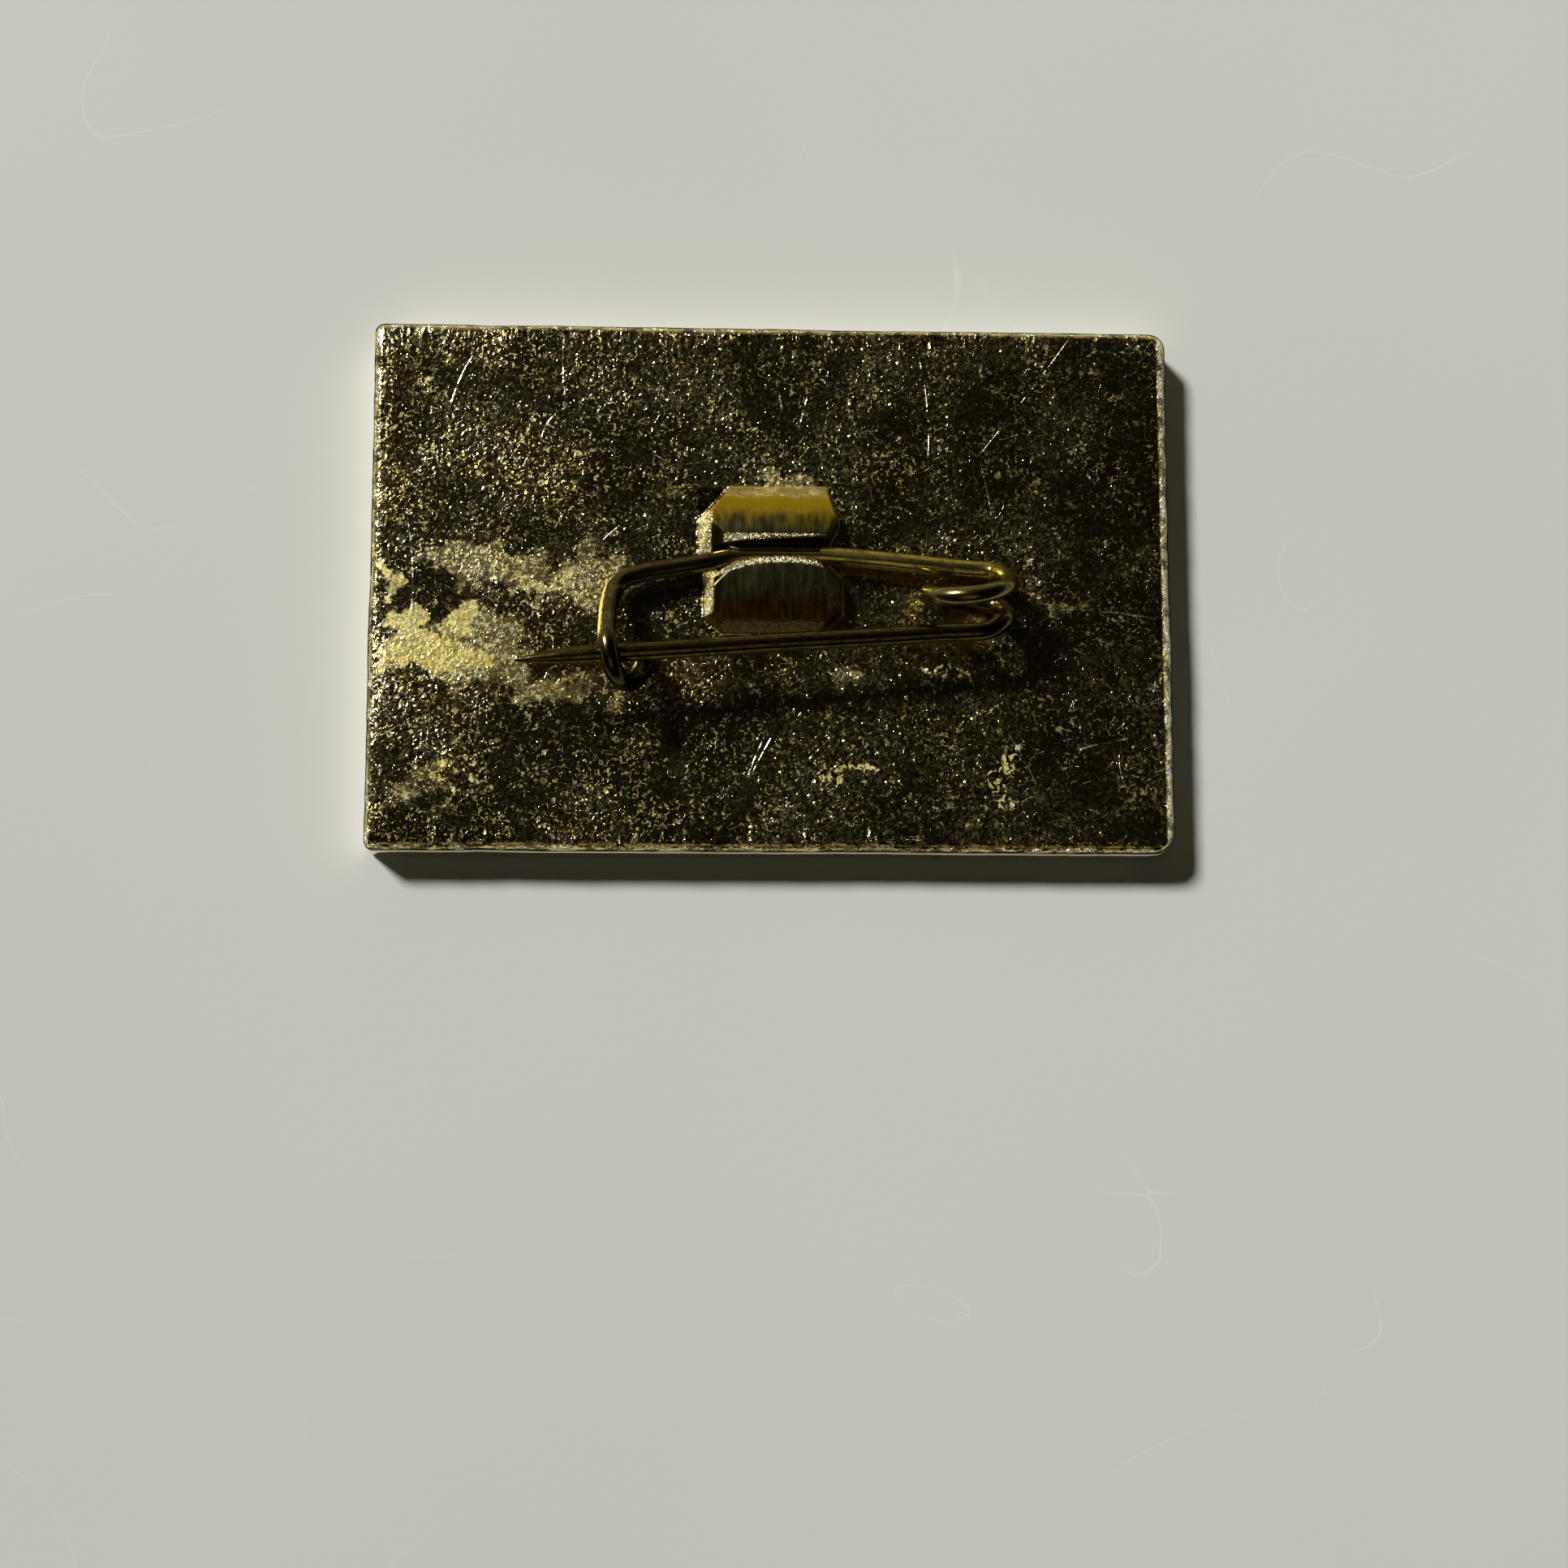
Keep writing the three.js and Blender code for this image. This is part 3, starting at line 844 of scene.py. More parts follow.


# Colours of the plate: its coating, the lugs' crowns as lit and shaded copies of one metal, bare metal,
# residue, and a dark colour for dirt and painted shade.
GILT = (0.80, 0.70, 0.33)
GILT_DEEP = (0.74, 0.60, 0.20)
CROWN_OLIVE_LIT = (0.58, 0.42, 0.02)
CROWN_GREY = (0.24, 0.215, 0.10)
CROWN_DARK_SHADED = (0.17, 0.15, 0.065)
CROWN_BROWN_SHADED = (0.21, 0.115, 0.035)
BARE = (0.92, 0.90, 0.78)
RESIDUE = (0.74, 0.66, 0.22)
RESIDUE_DEEP = (0.50, 0.39, 0.045)
HAZE = (0.46, 0.42, 0.23)
DIRT_AND_SHADE = (0.035, 0.024, 0.01)
WALL_GILT = (0.97, 0.91, 0.68)
WALL_NICK = (0.32, 0.24, 0.09)
FRONT_GOLD = (0.86, 0.66, 0.28)
FRONT_GOLD_DEEP = (0.80, 0.58, 0.20)

# Residue on the back: the middle of each ellipse, its reach along x and y, and how thick it lies.
STAIN_BLOBS = [
    ((-13.6, -1.6), (1.5, 1.5), 1.0),
    ((-12.4, -2.8), (1.9, 1.3), 1.0),
    ((-13.6, -2.7), (1.5, 1.0), 0.9),
    ((-11.3, -2.9), (1.6, 1.3), 1.0),
    ((-11.4, -1.4), (1.1, 1.6), 1.0),
    ((-8.6, -0.2), (1.6, 0.9), 0.75),
    ((-7.4, 0.4), (1.5, 0.8), 0.7),
    ((-14.2, -0.1), (0.9, 1.3), 0.6),
]

CLUMP_BLOBS = [
    ((6.4, -3.4), (2.2, 0.9), 0.8),
    ((14.1, -3.1), (0.8, 1.1), 0.7),
    ((3.2, -6.9), (2.0, 0.8), 0.85),
    ((8.6, -7.2), (1.2, 1.9), 0.7),
    ((0.0, -6.4), (1.2, 0.8), 0.6),
    ((-11.5, -7.6), (2.6, 1.5), 0.6),
    ((-13.0, 7.6), (2.4, 1.8), 0.6),
    ((9.4, 0.4), (0.9, 1.6), 0.6),
]

HAZE_BLOBS = [
    ((-10.5, 0.8), (4.4, 2.0), 0.8),
    ((-7.0, 0.2), (4.6, 2.4), 0.7),
    ((-11.0, -2.6), (4.6, 2.6), 0.9),
    ((-8.0, -4.2), (4.5, 1.6), 0.55),
    ((-4.0, 3.6), (3.4, 1.6), 0.4),
    ((2.5, -3.6), (4.4, 1.5), 0.5),
    ((11.5, -0.9), (3.2, 1.0), 0.4),
    ((8.0, 3.6), (3.4, 1.8), 0.3),
    ((-12.5, -8.0), (4.0, 2.5), 0.45),
    ((-12.8, 8.4), (3.2, 2.6), 0.4),
    ((0.3, 3.6), (2.6, 0.7), 0.9),
]

# Scratches on the back: start, end, width, and how far the line bows sideways.
SCRATCHES = [
    ((-13.62, 2.4), (-13.42, -1.3), 0.06, 0.12),
    ((-7.9, 9.6), (-7.75, 6.7), 0.055, -0.1),
    ((-7.74, 6.8), (-8.7, 5.55), 0.045, -0.2),
    ((-11.0, 9.2), (-12.1, 6.8), 0.04, -0.15),
    ((11.4, 9.9), (7.7, 5.0), 0.03, 0.05),
    ((5.5, 9.0), (5.8, 4.5), 0.03, 0.2),
    ((7.8, 4.87), (8.22, 2.66), 0.045, 0.04),
    ((-0.95, -7.3), (-0.25, -5.6), 0.06, 0.03),
    ((-0.75, -7.1), (0.1, -5.5), 0.04, 0.02),
    ((1.2, -6.7), (2.1, -5.8), 0.055, 0.0),
    ((0.1, 8.0), (0.35, 6.6), 0.07, 0.03),
    ((1.3, 7.4), (1.0, 6.2), 0.06, 0.0),
    ((10.3, -0.84), (14.6, -1.2), 0.06, 0.12),
    ((8.7, -5.5), (9.9, -7.9), 0.04, 0.1),
    ((11.2, -6.2), (13.4, -5.7), 0.04, 0.05),
    ((-12.6, -5.0), (-11.9, -6.9), 0.03, 0.0),
    ((-6.4, 1.6), (-5.2, 2.6), 0.03, 0.05),
    ((12.9, -6.1), (13.2, -7.7), 0.035, -0.15),
]


class BackLook(Look):
    """Rolled grain under a thin gold coating: dark and glinting, with residue, scratches, wear and
    painted shade.
    """

    def __init__(self):
        super().__init__("gold_plate_back")
        self.at = self.place()
        self.x, self.y, _ = self.parts(self.at)
        self.from_end = self.minus(HALF_Y, self.size(self.y))
        self.from_side = self.minus(HALF_X, self.size(self.x))
        self.from_rim = self.math("MINIMUM", self.from_end, self.from_side)
        self.smooth = self.attribute("smooth")
        self.open_grain = self.minus(1.0, self.smooth)
        self.patches = self.noise(self.at, 0.35, 3.0)
        self.brushed = self.noise(self.squeezed(1.0, 0.16), 5.5, 3.0)
        self.bits = self.noise(self.at, 8.0, 3.0, 0.6, 0.5)
        self.scratches = self.scratch_marks()
        self.rim, self.right = self.worn_rims()
        self.worn = self.largest(self.attribute("torn"), self.rim, self.right)
        self.stain, self.clumps, self.film = self.residue()
        self.raised(self.relief())
        self.set(base_color=self.tint(), roughness=self.gloss(), metallic=self.metal())

    def squeezed(self, *factors):
        return self.vector("MULTIPLY", self.at, (*factors, 1.0))

    def ramp(self, noise, low, high, to_low=0.0, to_high=1.0):
        """Noise over the back, its values carried from low...high to to_low...to_high."""
        return self.between(self.noise(self.at, *noise), low, high, to_low, to_high)

    def grain(self):
        """The rolled skin: worms and pimples, and upright ridges and dashes along the margins."""
        upright = self.squeezed(1.0, 0.22)
        lively = self.between(self.patches, 0.36, 0.64, 0.5, 1.4)
        worms = self.swing(self.noise(self.at, 5.2, 3.0, 0.6, 0.5), self.times(lively, 0.025))
        coarse = self.times(self.pimples(self.at, 3.8, 0.26), lively, 0.027)
        fine = self.times(self.pimples(self.at, 7.5, 0.2), 0.013)
        sides = self.times(self.between(self.from_side, 1.2, 0.1), 0.8)
        margin = self.largest(self.between(self.from_end, 1.6, 0.1), sides)
        margin = self.times(margin, self.ramp((0.8, 3.0, 0.6), 0.38, 0.6, 0.15))
        dashes = self.times(self.pimples(upright, 3.4, 0.5, 0.5), margin, 0.07)
        ridges = self.swing(self.noise(upright, 4.6, 2.0), self.times(margin, 0.05))
        return self.add(worms, coarse, fine, dashes, ridges)

    def scratch_marks(self):
        """1 on the listed scratches and on random hairlines, broken up as they fade in and out."""
        lines = self.noise(self.vector("ADD", self.at, (31.0, 7.0, 0)), 0.8, 1.0, 0.5, 1.2)
        hairlines = self.between(self.size(self.minus(lines, 0.5)), 0.0035, 0.001)
        hairlines = self.times(hairlines, self.ramp((1.3, 1.0), 0.55, 0.62), 0.7)
        marks = [self.scratch(self.at, *mark) for mark in SCRATCHES]
        breaks = self.ramp((3.2, 3.0, 0.6), 0.38, 0.62, 0.1, 0.75)
        return self.times(self.largest(hairlines, *marks), breaks, self.open_grain)

    def worn_rims(self):
        """Wear on the rim all round, and the broader wear of the edge at +X."""
        rim = self.between(self.from_rim, 0.26, 0.1)
        right = self.between(self.minus(HALF_X, self.x), 0.42, 0.26)
        return (
            self.times(rim, self.ramp((1.8, 3.0, 0.6), 0.46, 0.6, 0.05)),
            self.times(right, self.ramp((1.3, 3.0, 0.6), 0.4, 0.55, 0.25)),
        )

    def relief(self):
        return self.add(
            self.times(self.grain(), self.open_grain),
            self.times(self.scratches, -0.012),
            self.swing(self.brushed, self.times(self.smooth, 0.008)),
            self.swing(self.bits, self.times(self.worn, 0.26)),
        )

    def stained(self, blobs, ragged):
        """Where residue lies on the grain: blobs bent out of shape, with ragged rims."""
        wander = self.noise(self.at, 0.75, 5.0, output="Color")
        offset = self.vector("SUBTRACT", wander, (0.5, 0.5, 0.5))
        bent = self.vector("MULTIPLY_ADD", offset, (3.2, 3.2, 0.0), self.at)
        lying = [self.times(self.blob(bent, middle, reach), much) for middle, reach, much in blobs]
        film = self.add(self.largest(*lying), ragged)
        return self.times(self.between(film, 0.36, 0.56), self.open_grain)

    def residue(self):
        """The big stain, the small clumps, and how much of anything covers the metal."""
        cloudy = self.swing(self.noise(self.at, 0.8, 5.0, 0.7), 1.2)
        stain = self.stained(STAIN_BLOBS, self.swing(self.noise(self.at, 1.6, 6.0, 0.75), 1.3))
        haze = self.stained(HAZE_BLOBS, cloudy)
        clumps = self.ramp((3.4, 3.0, 0.6, 0.7), 0.53, 0.6)
        clumps = self.times(clumps, self.stained(CLUMP_BLOBS, cloudy))
        flecks = self.ramp((6.5, 2.0, 0.6, 0.6), 0.49, 0.62)
        dust = self.between(self.patches, 0.4, 0.7, 0.0, 0.05)
        thin = self.times(flecks, self.add(self.times(haze, 0.30), dust))
        thin = self.add(thin, self.times(haze, 0.09))
        thick = self.times(stain, self.blend(flecks, 0.32, 0.92))
        return stain, clumps, self.largest(thin, thick, self.times(clumps, 0.7))

    def tint(self):
        tint = self.blend(self.ramp((0.9, 3.0), 0.35, 0.7), GILT, GILT_DEEP)
        # Painted light and shade on the lug crowns: the upper lug turns olive towards its root, which
        # faces the light, and the lower lug is tinted darker brown as if in shade.
        mottled = self.add(self.y, self.times(self.noise(self.at, 1.1, 4.0, 0.6), 2.2))
        upper = self.blend(self.between(mottled, 2.7, 3.9), CROWN_GREY, CROWN_OLIVE_LIT)
        lower = self.blend(self.between(mottled, -0.2, 0.9), CROWN_BROWN_SHADED, CROWN_DARK_SHADED)
        crown = self.blend(self.between(self.y, 1.3, 0.9), upper, lower)
        tint = self.blend(self.smooth, tint, crown)
        rubbed = self.times(self.worn, self.ramp((5.0, 3.0, 0.6), 0.42, 0.6))
        tint = self.blend(self.largest(rubbed, self.scratches), tint, BARE)
        residue = self.blend(self.ramp((3.2, 3.0, 0.6), 0.4, 0.6), RESIDUE_DEEP, RESIDUE)
        residue = self.blend(self.largest(self.stain, self.clumps), HAZE, residue)
        tint = self.blend(self.film, tint, residue)
        edge = self.between(self.from_rim, 0.42, 0.3)
        nicks = self.times(self.nicks(self.at, 0.51, 0.58), edge, 0.8)
        # One dark colour for dirty nicks along the rim and for painted shade by the wire and at the lug's
        # corner.
        return self.blend(self.largest(self.attribute("painted_shade"), nicks), tint, DIRT_AND_SHADE)

    def gloss(self):
        """Roughness: mirror-like grain with rougher chips, brushed lugs, and dull wear and residue."""
        chips = self.noise(self.vector("ADD", self.at, (3.0, 9.0, 0)), 5.2, 2.0, 0.6, 1.2)
        chips = self.times(
            self.between(chips, 0.555, 0.63),
            self.ramp((0.8, 4.0, 0.65), 0.36, 0.64, 0.25, 1.25),
            self.between(self.add(self.x, self.y), 14.0, -18.0, 0.85, 1.15),
        )
        rough = self.ramp((7.0, 2.0), 0.35, 0.7, 0.095, 0.145)
        for share, level in (
            (chips, 0.35),
            (self.smooth, self.between(self.brushed, 0.3, 0.7, 0.21, 0.28)),
            (self.worn, self.between(self.bits, 0.35, 0.65, 0.24, 0.42)),
            (self.scratches, 0.33),
            (self.film, 0.6),
        ):
            rough = self.blend(share, rough, level)
        return rough

    def metal(self):
        parts = (self.film, 0.9), (self.rim, 0.15), (self.right, 0.9)
        return self.minus(1.0, self.largest(*[self.times(*part) for part in parts]))


def plate_wall_look():
    """The sheared side: gold with upright burnish lines, worn bare along its edges."""
    look = Look("gold_plate_wall")
    at = look.place()
    upright = look.noise(look.vector("MULTIPLY", at, (1.0, 1.0, 0.1)), 4.0, 3.0, 0.6)
    pits = look.noise(at, 9.0, 2.0)
    look.raised(look.add(look.swing(upright, 0.006), look.swing(pits, 0.002)))
    tint = look.blend(look.between(upright, 0.4, 0.68), WALL_GILT, BARE)
    tint = look.blend(look.times(look.nicks(at, 0.56, 0.63), 0.6), tint, WALL_NICK)
    look.set(base_color=tint, roughness=look.between(pits, 0.3, 0.7, 0.08, 0.16), metallic=1.0)
    return look.material


def plate_front_look():
    """The raised lines and rim of the front: polished gold with fine random wear."""
    look = Look("gold_plate_front")
    at = look.place()
    wear = look.noise(at, 2.2, 4.0, 0.6)
    fine = look.noise(look.vector("MULTIPLY", at, (1.0, 6.0, 1.0)), 2.5, 3.0)
    look.raised(look.add(look.swing(wear, 0.004), look.swing(fine, 0.0012)))
    tint = look.blend(look.between(wear, 0.4, 0.75), FRONT_GOLD, FRONT_GOLD_DEEP)
    look.set(base_color=tint, roughness=look.between(fine, 0.3, 0.7, 0.12, 0.24), metallic=1.0)
    return look.material


# Painted shade: the near-black colour of the hook's curled end, which lies under the needle.
CURL_SHADED_BRONZE = (0.06, 0.05, 0.028)
RUBBED_BRONZE = (0.55, 0.44, 0.19)
DARKER = 0.38

# The wire's colour changes between two distances along it, from the hook's curled end to the needle. The
# stretches are painted light and shade on one bronze: a near-black curl where the needle shades it, a
# darker hook and left arm, a bright right arm, and a darker coil and needle.
LIT_AND_SHADED_STRETCHES = [
    (2.6, 4.6, (0.16, 0.125, 0.05)),
    (11.5, 14.0, (0.60, 0.50, 0.14)),
    (20.0, 24.0, (0.24, 0.20, 0.075)),
    (31.0, 34.0, (0.12, 0.094, 0.03)),
]


def wire_look():
    """Drawn bronze wire, darkened with age, with fine lines along it and rubbed spots, and stretches
    tinted lighter or darker as painted light and shade.
    """
    look = Look("bronze_wire")
    drawn = look.attribute("drawn", "Vector")
    lines = look.noise(look.vector("MULTIPLY", drawn, (1.0, 1.0, 0.07)), 14.0, 2.0)
    bloom = look.noise(drawn, 2.4, 4.0, 0.62, 0.4)
    pits = look.noise(drawn, 9.0, 3.0, 0.6)
    look.raised(look.add(look.swing(lines, 0.0025), look.swing(pits, 0.004)))
    _, _, along = look.parts(drawn)
    bright = CURL_SHADED_BRONZE
    for start, end, bronze in LIT_AND_SHADED_STRETCHES:
        bright = look.blend(look.between(along, start, end), bright, bronze)
    aged = look.vector("SCALE", bright, scale=DARKER)
    tint = look.blend(look.between(bloom, 0.42, 0.68), bright, aged)
    tint = look.blend(look.between(pits, 0.64, 0.76), tint, RUBBED_BRONZE)
    rough = look.between(bloom, 0.35, 0.7, 0.19, 0.27)
    look.set(base_color=tint, roughness=rough, metallic=1.0, specular_tint=(0.6, 0.6, 0.6))
    return look.material


def enamel_look(name, colour):
    """Glossy cold enamel: faintly uneven colour under a surface with a little orange peel."""
    look = Look(name)
    at = look.place()
    clouds = look.noise(at, 0.8, 4.0, 0.55, 0.3)
    specks = look.noise(at, 14.0, 2.0)
    peel = look.noise(at, 1.6, 2.0)
    look.raised(look.add(look.swing(peel, 0.012), look.swing(specks, 0.0005)))
    deep = tuple(0.72 * channel for channel in colour)
    bright = tuple(min(1.0, 1.12 * channel + 0.015) for channel in colour)
    tint = look.blend(look.between(clouds, 0.3, 0.7), deep, bright)
    tint = look.blend(look.between(specks, 0.68, 0.78), tint, deep)
    look.set(base_color=tint, roughness=look.between(clouds, 0.3, 0.7, 0.07, 0.16))
    look.set(coat_weight=0.35, coat_roughness=0.04)
    return look.material


TABLE_TINT = (0.562, 0.575, 0.542)
TABLE_TINT_PALE = (0.588, 0.597, 0.568)
TABLE_MARK = (0.75, 0.75, 0.72)


def table_look():
    """A pale laminated table top with faint clouding and fine scratches, and painted light that makes it
    a little lighter towards +Y and darker towards -Y.
    """
    look = Look("table")
    at = look.place()
    clouds = look.noise(at, 0.02, 4.0)
    long_marks = look.noise(look.vector("ADD", at, (5.0, 70.0, 0)), 0.06, 1.0, 0.5, 1.5)
    marks = look.between(look.size(look.minus(long_marks, 0.5)), 0.0011, 0.0003)
    marks = look.times(marks, look.between(look.noise(at, 0.09, 2.0), 0.5, 0.62))
    tint = look.blend(look.between(clouds, 0.3, 0.7), TABLE_TINT, TABLE_TINT_PALE)
    tint = look.blend(look.times(marks, 0.4), tint, TABLE_MARK)
    look.raised(look.times(look.noise(at, 2.5, 3.0), 0.004))
    # Painted light: the tint is scaled from a little darker towards -Y to a little lighter towards +Y.
    x, y, _ = look.parts(at)
    across = look.math("MULTIPLY_ADD", x, 0.1, y)
    fade = look.between(across, -50.0, 50.0, 0.965, 1.035)
    tint = look.vector("SCALE", tint, scale=fade)
    look.set(base_color=tint, roughness=look.between(clouds, 0.3, 0.7, 0.42, 0.5))
    look.set(specular_ior_level=0.09)
    return look.material


# ---- putting the pieces together ----


def painted_wire_shadow(x, y, route):
    """A painted shadow: how close points are to the ground just below the low wire, shifted the way the
    wire's shadow falls.
    """
    low = route[route[:, 2] < BACK + LOW_WIRE][::5, :2] + WIRE_SHADOW_SHIFT
    gap = np.full(len(x), np.inf)
    for along, across in low:
        gap = np.minimum(gap, np.hypot(x - along, y - across))
    return np.exp(-((gap / WIRE_SHADOW_REACH) ** 2))


def torn_metal(x, y, height, lug, wander):
    """Where the lugs were torn or sheared: their ends at -X, their bevels, and the lower one's foot."""
    flank = np.where(y > WIRE_Y, past(x, -2.28, -0.06), past(x, -2.2, -0.06))
    flank *= past(height, 0.03, 0.05) * past(y - wander, 2.72, -0.1) * past(y, -1.3, 0.1)
    left = past(x - wander, -0.95, -0.2)
    high_bevel = past(y - upper_bevel_edge(x), -0.02, 0.03) * past(y, 1.74, -0.04)
    high_bevel *= (0.4 + 0.6 * left) * past(x, -1.85, 0.06) * past(x, 1.75, -0.1)
    below_edge = y - lower_bevel_edge(x)
    low_bevel = past(below_edge, -0.27, 0.05) * past(below_edge, 0.03, -0.03) * (0.35 + 0.6 * left)
    end_strip = 0.3 * past(y, -1.55, -0.04) * past(np.abs(x), 1.95, -0.1)
    return flank + lug * np.clip(high_bevel + low_bevel + end_strip, 0, 1)


def painted_shade_of(x, y, height, route):
    """Painted shade in the slot beside the wire and at the upper lug's corner, and the painted shadow on
    the ground below the wire.
    """
    # Painted shade in the slot under the upper lug's bevel, beside the wire.
    slot = past(y - upper_bevel_edge(x), -0.02, -0.04) * past(y, WIRE_Y - 0.02, 0.04)
    slot *= past(height, 0.2, 0.1) * past(x, -2.25, 0.1)
    # Painted shade at the upper lug's root corner, which darkens a highlight on its crease.
    corner = past(y, 2.7, 0.1) * past(x, -1.2, -0.1) * past(x, -2.9, 0.1)
    corner *= past(upper_crown(y) - height, 0.01, 0.03) * past(y, 3.75, -0.1)
    ground = painted_wire_shadow(x, y, route) * past(height, 0.12, -0.08)
    return np.maximum(np.maximum(slot, 0.8 * corner), 0.6 * ground)


def wear_of(x, y, height, route):
    """The finish of the back's points: smooth lug tops, torn or worn edges, and painted shade by the
    wire.
    """
    wander = 0.1 * soft_noise(x, y, 0.3, 81)
    lug = past(height, 0.12, 0.16)
    torn = torn_metal(x, y, height, lug, wander)
    painted_shade = painted_shade_of(x, y, height, route)
    grained_root = past(y - wander, 3.2, 0.1)
    return {
        "smooth": lug * (1 - grained_root) * (1 - np.clip(torn, 0, 1)),
        "torn": np.clip(torn * (1 - painted_shade), 0, 1),
        "painted_shade": painted_shade,
    }


def build_plate(route):
    plans = {name: CellPlan(name) for name in ENAMEL_NODES}
    cutters = [cell_cutter(plan) for plan in plans.values()]
    mesh = cut_away(plate_mesh(), [*cutters, crimp_channel(route)])
    mesh.name = "plate"
    points = read(mesh.vertices, "co", 3) / MM
    x, y, z = points.T
    for name, values in wear_of(x, y, z - BACK, route).items():
        add_attribute(mesh, name, values)
    x, y, z = face_facts(mesh)[0].T
    front = (z < FRONT_REACH) & (depth_inside(x, y) > ROLL_REACH)
    wall = ~front & (z < BACK - ROLL_REACH)
    mesh.materials.clear()
    for look in (BackLook().material, plate_wall_look(), plate_front_look()):
        mesh.materials.append(look)
    mesh.polygons.foreach_set("material_index", (wall + 2 * front).astype(np.int32))
    smooth_over(mesh, 24)
    soften_back(mesh, points)
    plate = object_of("plate", mesh)
    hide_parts("base_plate")
    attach(plate, "badge")
    return plans


def soften_back(mesh, points):
    """Keeps sharp edges on the front only: the back's creases are already rounded."""
    sharp = mesh.attributes["sharp_edge"]
    high = points[read(mesh.edges, "vertices", 2, np.int32)][:, :, 2].max(1) > FRONT_REACH
    values = read(sharp.data, "value", 1, bool)[:, 0]
    sharp.data.foreach_set("value", values & ~high)


def build_enamel(plans):
    slots = {row["node"]: row["material_slot"] for row in frame["record"]["subparts"]}
    colours = {row["slot"]: tuple(row["base_color"]) for row in frame["record"]["materials"]}
    looks = {}
    for name, plan in plans.items():
        slot = slots[name]
        if slot not in looks:
            looks[slot] = enamel_look(slot, colours[slot])
        mesh = enamel_mesh(plan, name + "_fill")
        mesh.materials.append(looks[slot])
        smooth_over(mesh, 40)
        level = np.abs(face_facts(mesh)[1][:, 2]) > 0.9999
        mesh.polygons.foreach_set("use_smooth", ~level)
        fill = object_of(name + "_fill", mesh)
        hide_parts(name)
        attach(fill, "badge")


def build_wire(route, look):
    """The one pin wire, in two pieces that meet between the lugs: the hooked arm and the spring."""
    lengths = distances_along(route)
    arm = (np.abs(route[:, 1] - WIRE_Y) < 0.1) & (route[:, 0] > SPLIT_X)
    split = lengths[np.argmax(arm)]
    end = lengths[-1]

    path, places = evenly(route, WIRE_STEP, 0, split)
    radii = np.full(len(places), WIRE_RADIUS)
    mesh = wire_mesh("hook_arm_wire", path, places, radii, round_start=True)
    mesh.materials.append(look)
    hook = object_of("hook_arm_wire", mesh)
    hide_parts("pin_fixed_arm")
    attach(hook, "badge")

    path, places = evenly(route, WIRE_STEP, split, end)
    mesh = wire_mesh("spring_needle_wire", path, places, tip_radii(places, end))
    mesh.materials.append(look)
    spring = object_of("spring_needle_wire", mesh)
    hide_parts("pin_coil", "pin_needle")
    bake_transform(spring)


def crimp_channel(route):
    """The space of the wire between the lugs, a hair wider than the wire."""
    near = (np.abs(route[:, 0]) < 3.3) & (route[:, 1] > 0.4) & (route[:, 2] < BACK + 0.9)
    path, places = evenly(route[near], CHANNEL_STEP)
    radii = np.full(len(places), WIRE_RADIUS + CRIMP_PLAY)
    return wire_mesh("channel", path, places, radii)


# ---- table, light and camera ----

TABLE_REACH = 1500
TABLE_DROP = 0.004
SUN_FROM = (-0.80, 0.73, 1.0)
SUN_STRENGTH = 4.1
SUN_WIDTH_DEG = 11.0
SUN_COLOUR = (1.0, 0.985, 0.95)
ROOM_COLOUR = (1.0, 0.86, 0.58, 1.0)
ROOM_LEVEL = 0.0035
GLOW_FROM = (-0.35, 0.92, 0.17)
GLOW_LEVEL = 0.3
FILL_FROM = (0.0, -0.62, 0.785)
FILL_LEVEL = 0.3
HORIZON_LEVEL = 0.35
CAMERA_PLACE = (-3.79, -23.51, 99.24)
CAMERA_TURN_DEG = (9.3, -2.48, 0.0)
CAMERA_LENS = 61.6
SENSOR = 36.0


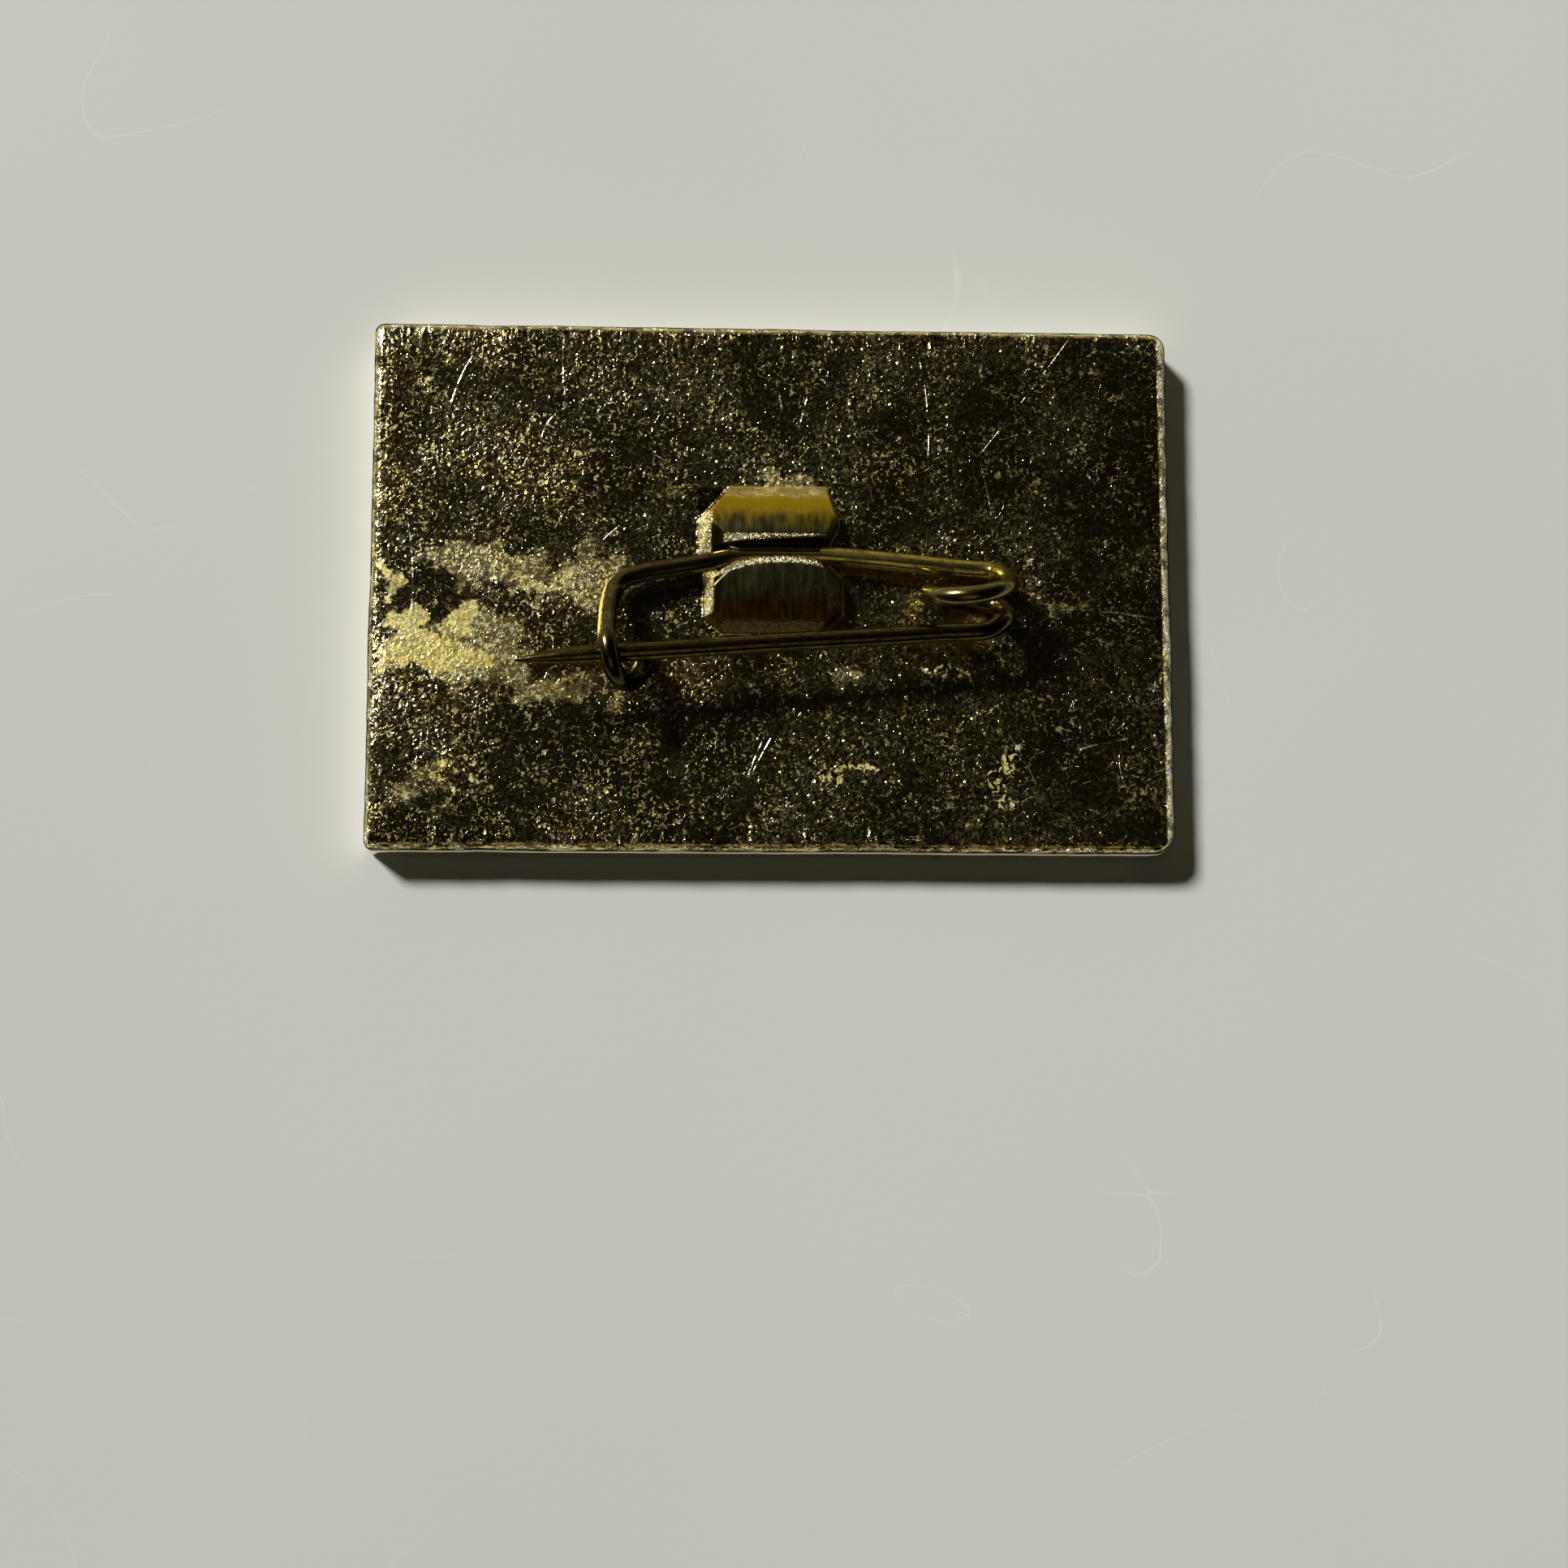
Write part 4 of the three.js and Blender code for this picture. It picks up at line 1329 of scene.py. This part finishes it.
def build_table():
    corners = [(-1, -1), (1, -1), (1, 1), (-1, 1)]
    points = [(TABLE_REACH * x, TABLE_REACH * y, -TABLE_DROP) for x, y in corners]
    mesh = mesh_of("table", points, [[0, 1, 2, 3]])
    mesh.materials.append(table_look())
    object_of("table", mesh)


def build_light():
    sun = bpy.data.lights.new("key", "SUN")
    sun.energy = SUN_STRENGTH
    sun.angle = math.radians(SUN_WIDTH_DEG)
    sun.color = SUN_COLOUR
    key = object_of("key", sun)
    key.rotation_euler = Vector(SUN_FROM).to_track_quat("Z", "Y").to_euler()

    world = bpy.data.worlds.new("studio")
    bpy.context.scene.world = world
    world.use_nodes = True
    world.node_tree.nodes.clear()
    room = Graph(world.node_tree)
    ahead = room.node("ShaderNodeTexCoord").outputs["Generated"]
    up = room.dot(ahead, (0, 0, 1))
    glow = room.times(room.between(room.dot(ahead, GLOW_FROM), 0.35, 0.9), room.between(up, 0.8, 0.45))
    facing = room.between(room.dot(ahead, (0, 1, 0)), -0.8, -0.2)
    horizon = room.times(room.between(up, 0.16, 0.05), facing, HORIZON_LEVEL)
    behind = room.between(room.dot(ahead, FILL_FROM), 0.93, 0.985)
    strength = room.add(
        ROOM_LEVEL,
        room.times(room.largest(glow, horizon), GLOW_LEVEL),
        room.times(behind, FILL_LEVEL),
    )
    background = room.node("ShaderNodeBackground")
    background.inputs["Color"].default_value = ROOM_COLOUR
    room.feed(background.inputs["Strength"], strength)
    output = room.node("ShaderNodeOutputWorld")
    room.feed(output.inputs["Surface"], background.outputs[0])


def build_camera():
    data = bpy.data.cameras.new("camera")
    data.sensor_width = SENSOR
    data.lens = CAMERA_LENS
    data.clip_start, data.clip_end = 0.001, 10.0
    camera = object_of("camera", data)
    camera.location = Vector(CAMERA_PLACE) * MM
    camera.rotation_euler = Euler([math.radians(turn) for turn in CAMERA_TURN_DEG], "XYZ")
    bpy.context.scene.camera = camera


bpy.context.scene.view_settings.view_transform = "Standard"
build_camera()
build_light()
build_table()
wire_route = through([*HOOK_ROUTE, *ARM_ROUTE, *coil_route(), *NEEDLE_ROUTE])
build_wire(wire_route, wire_look())
cell_plans = build_plate(wire_route)
build_enamel(cell_plans)
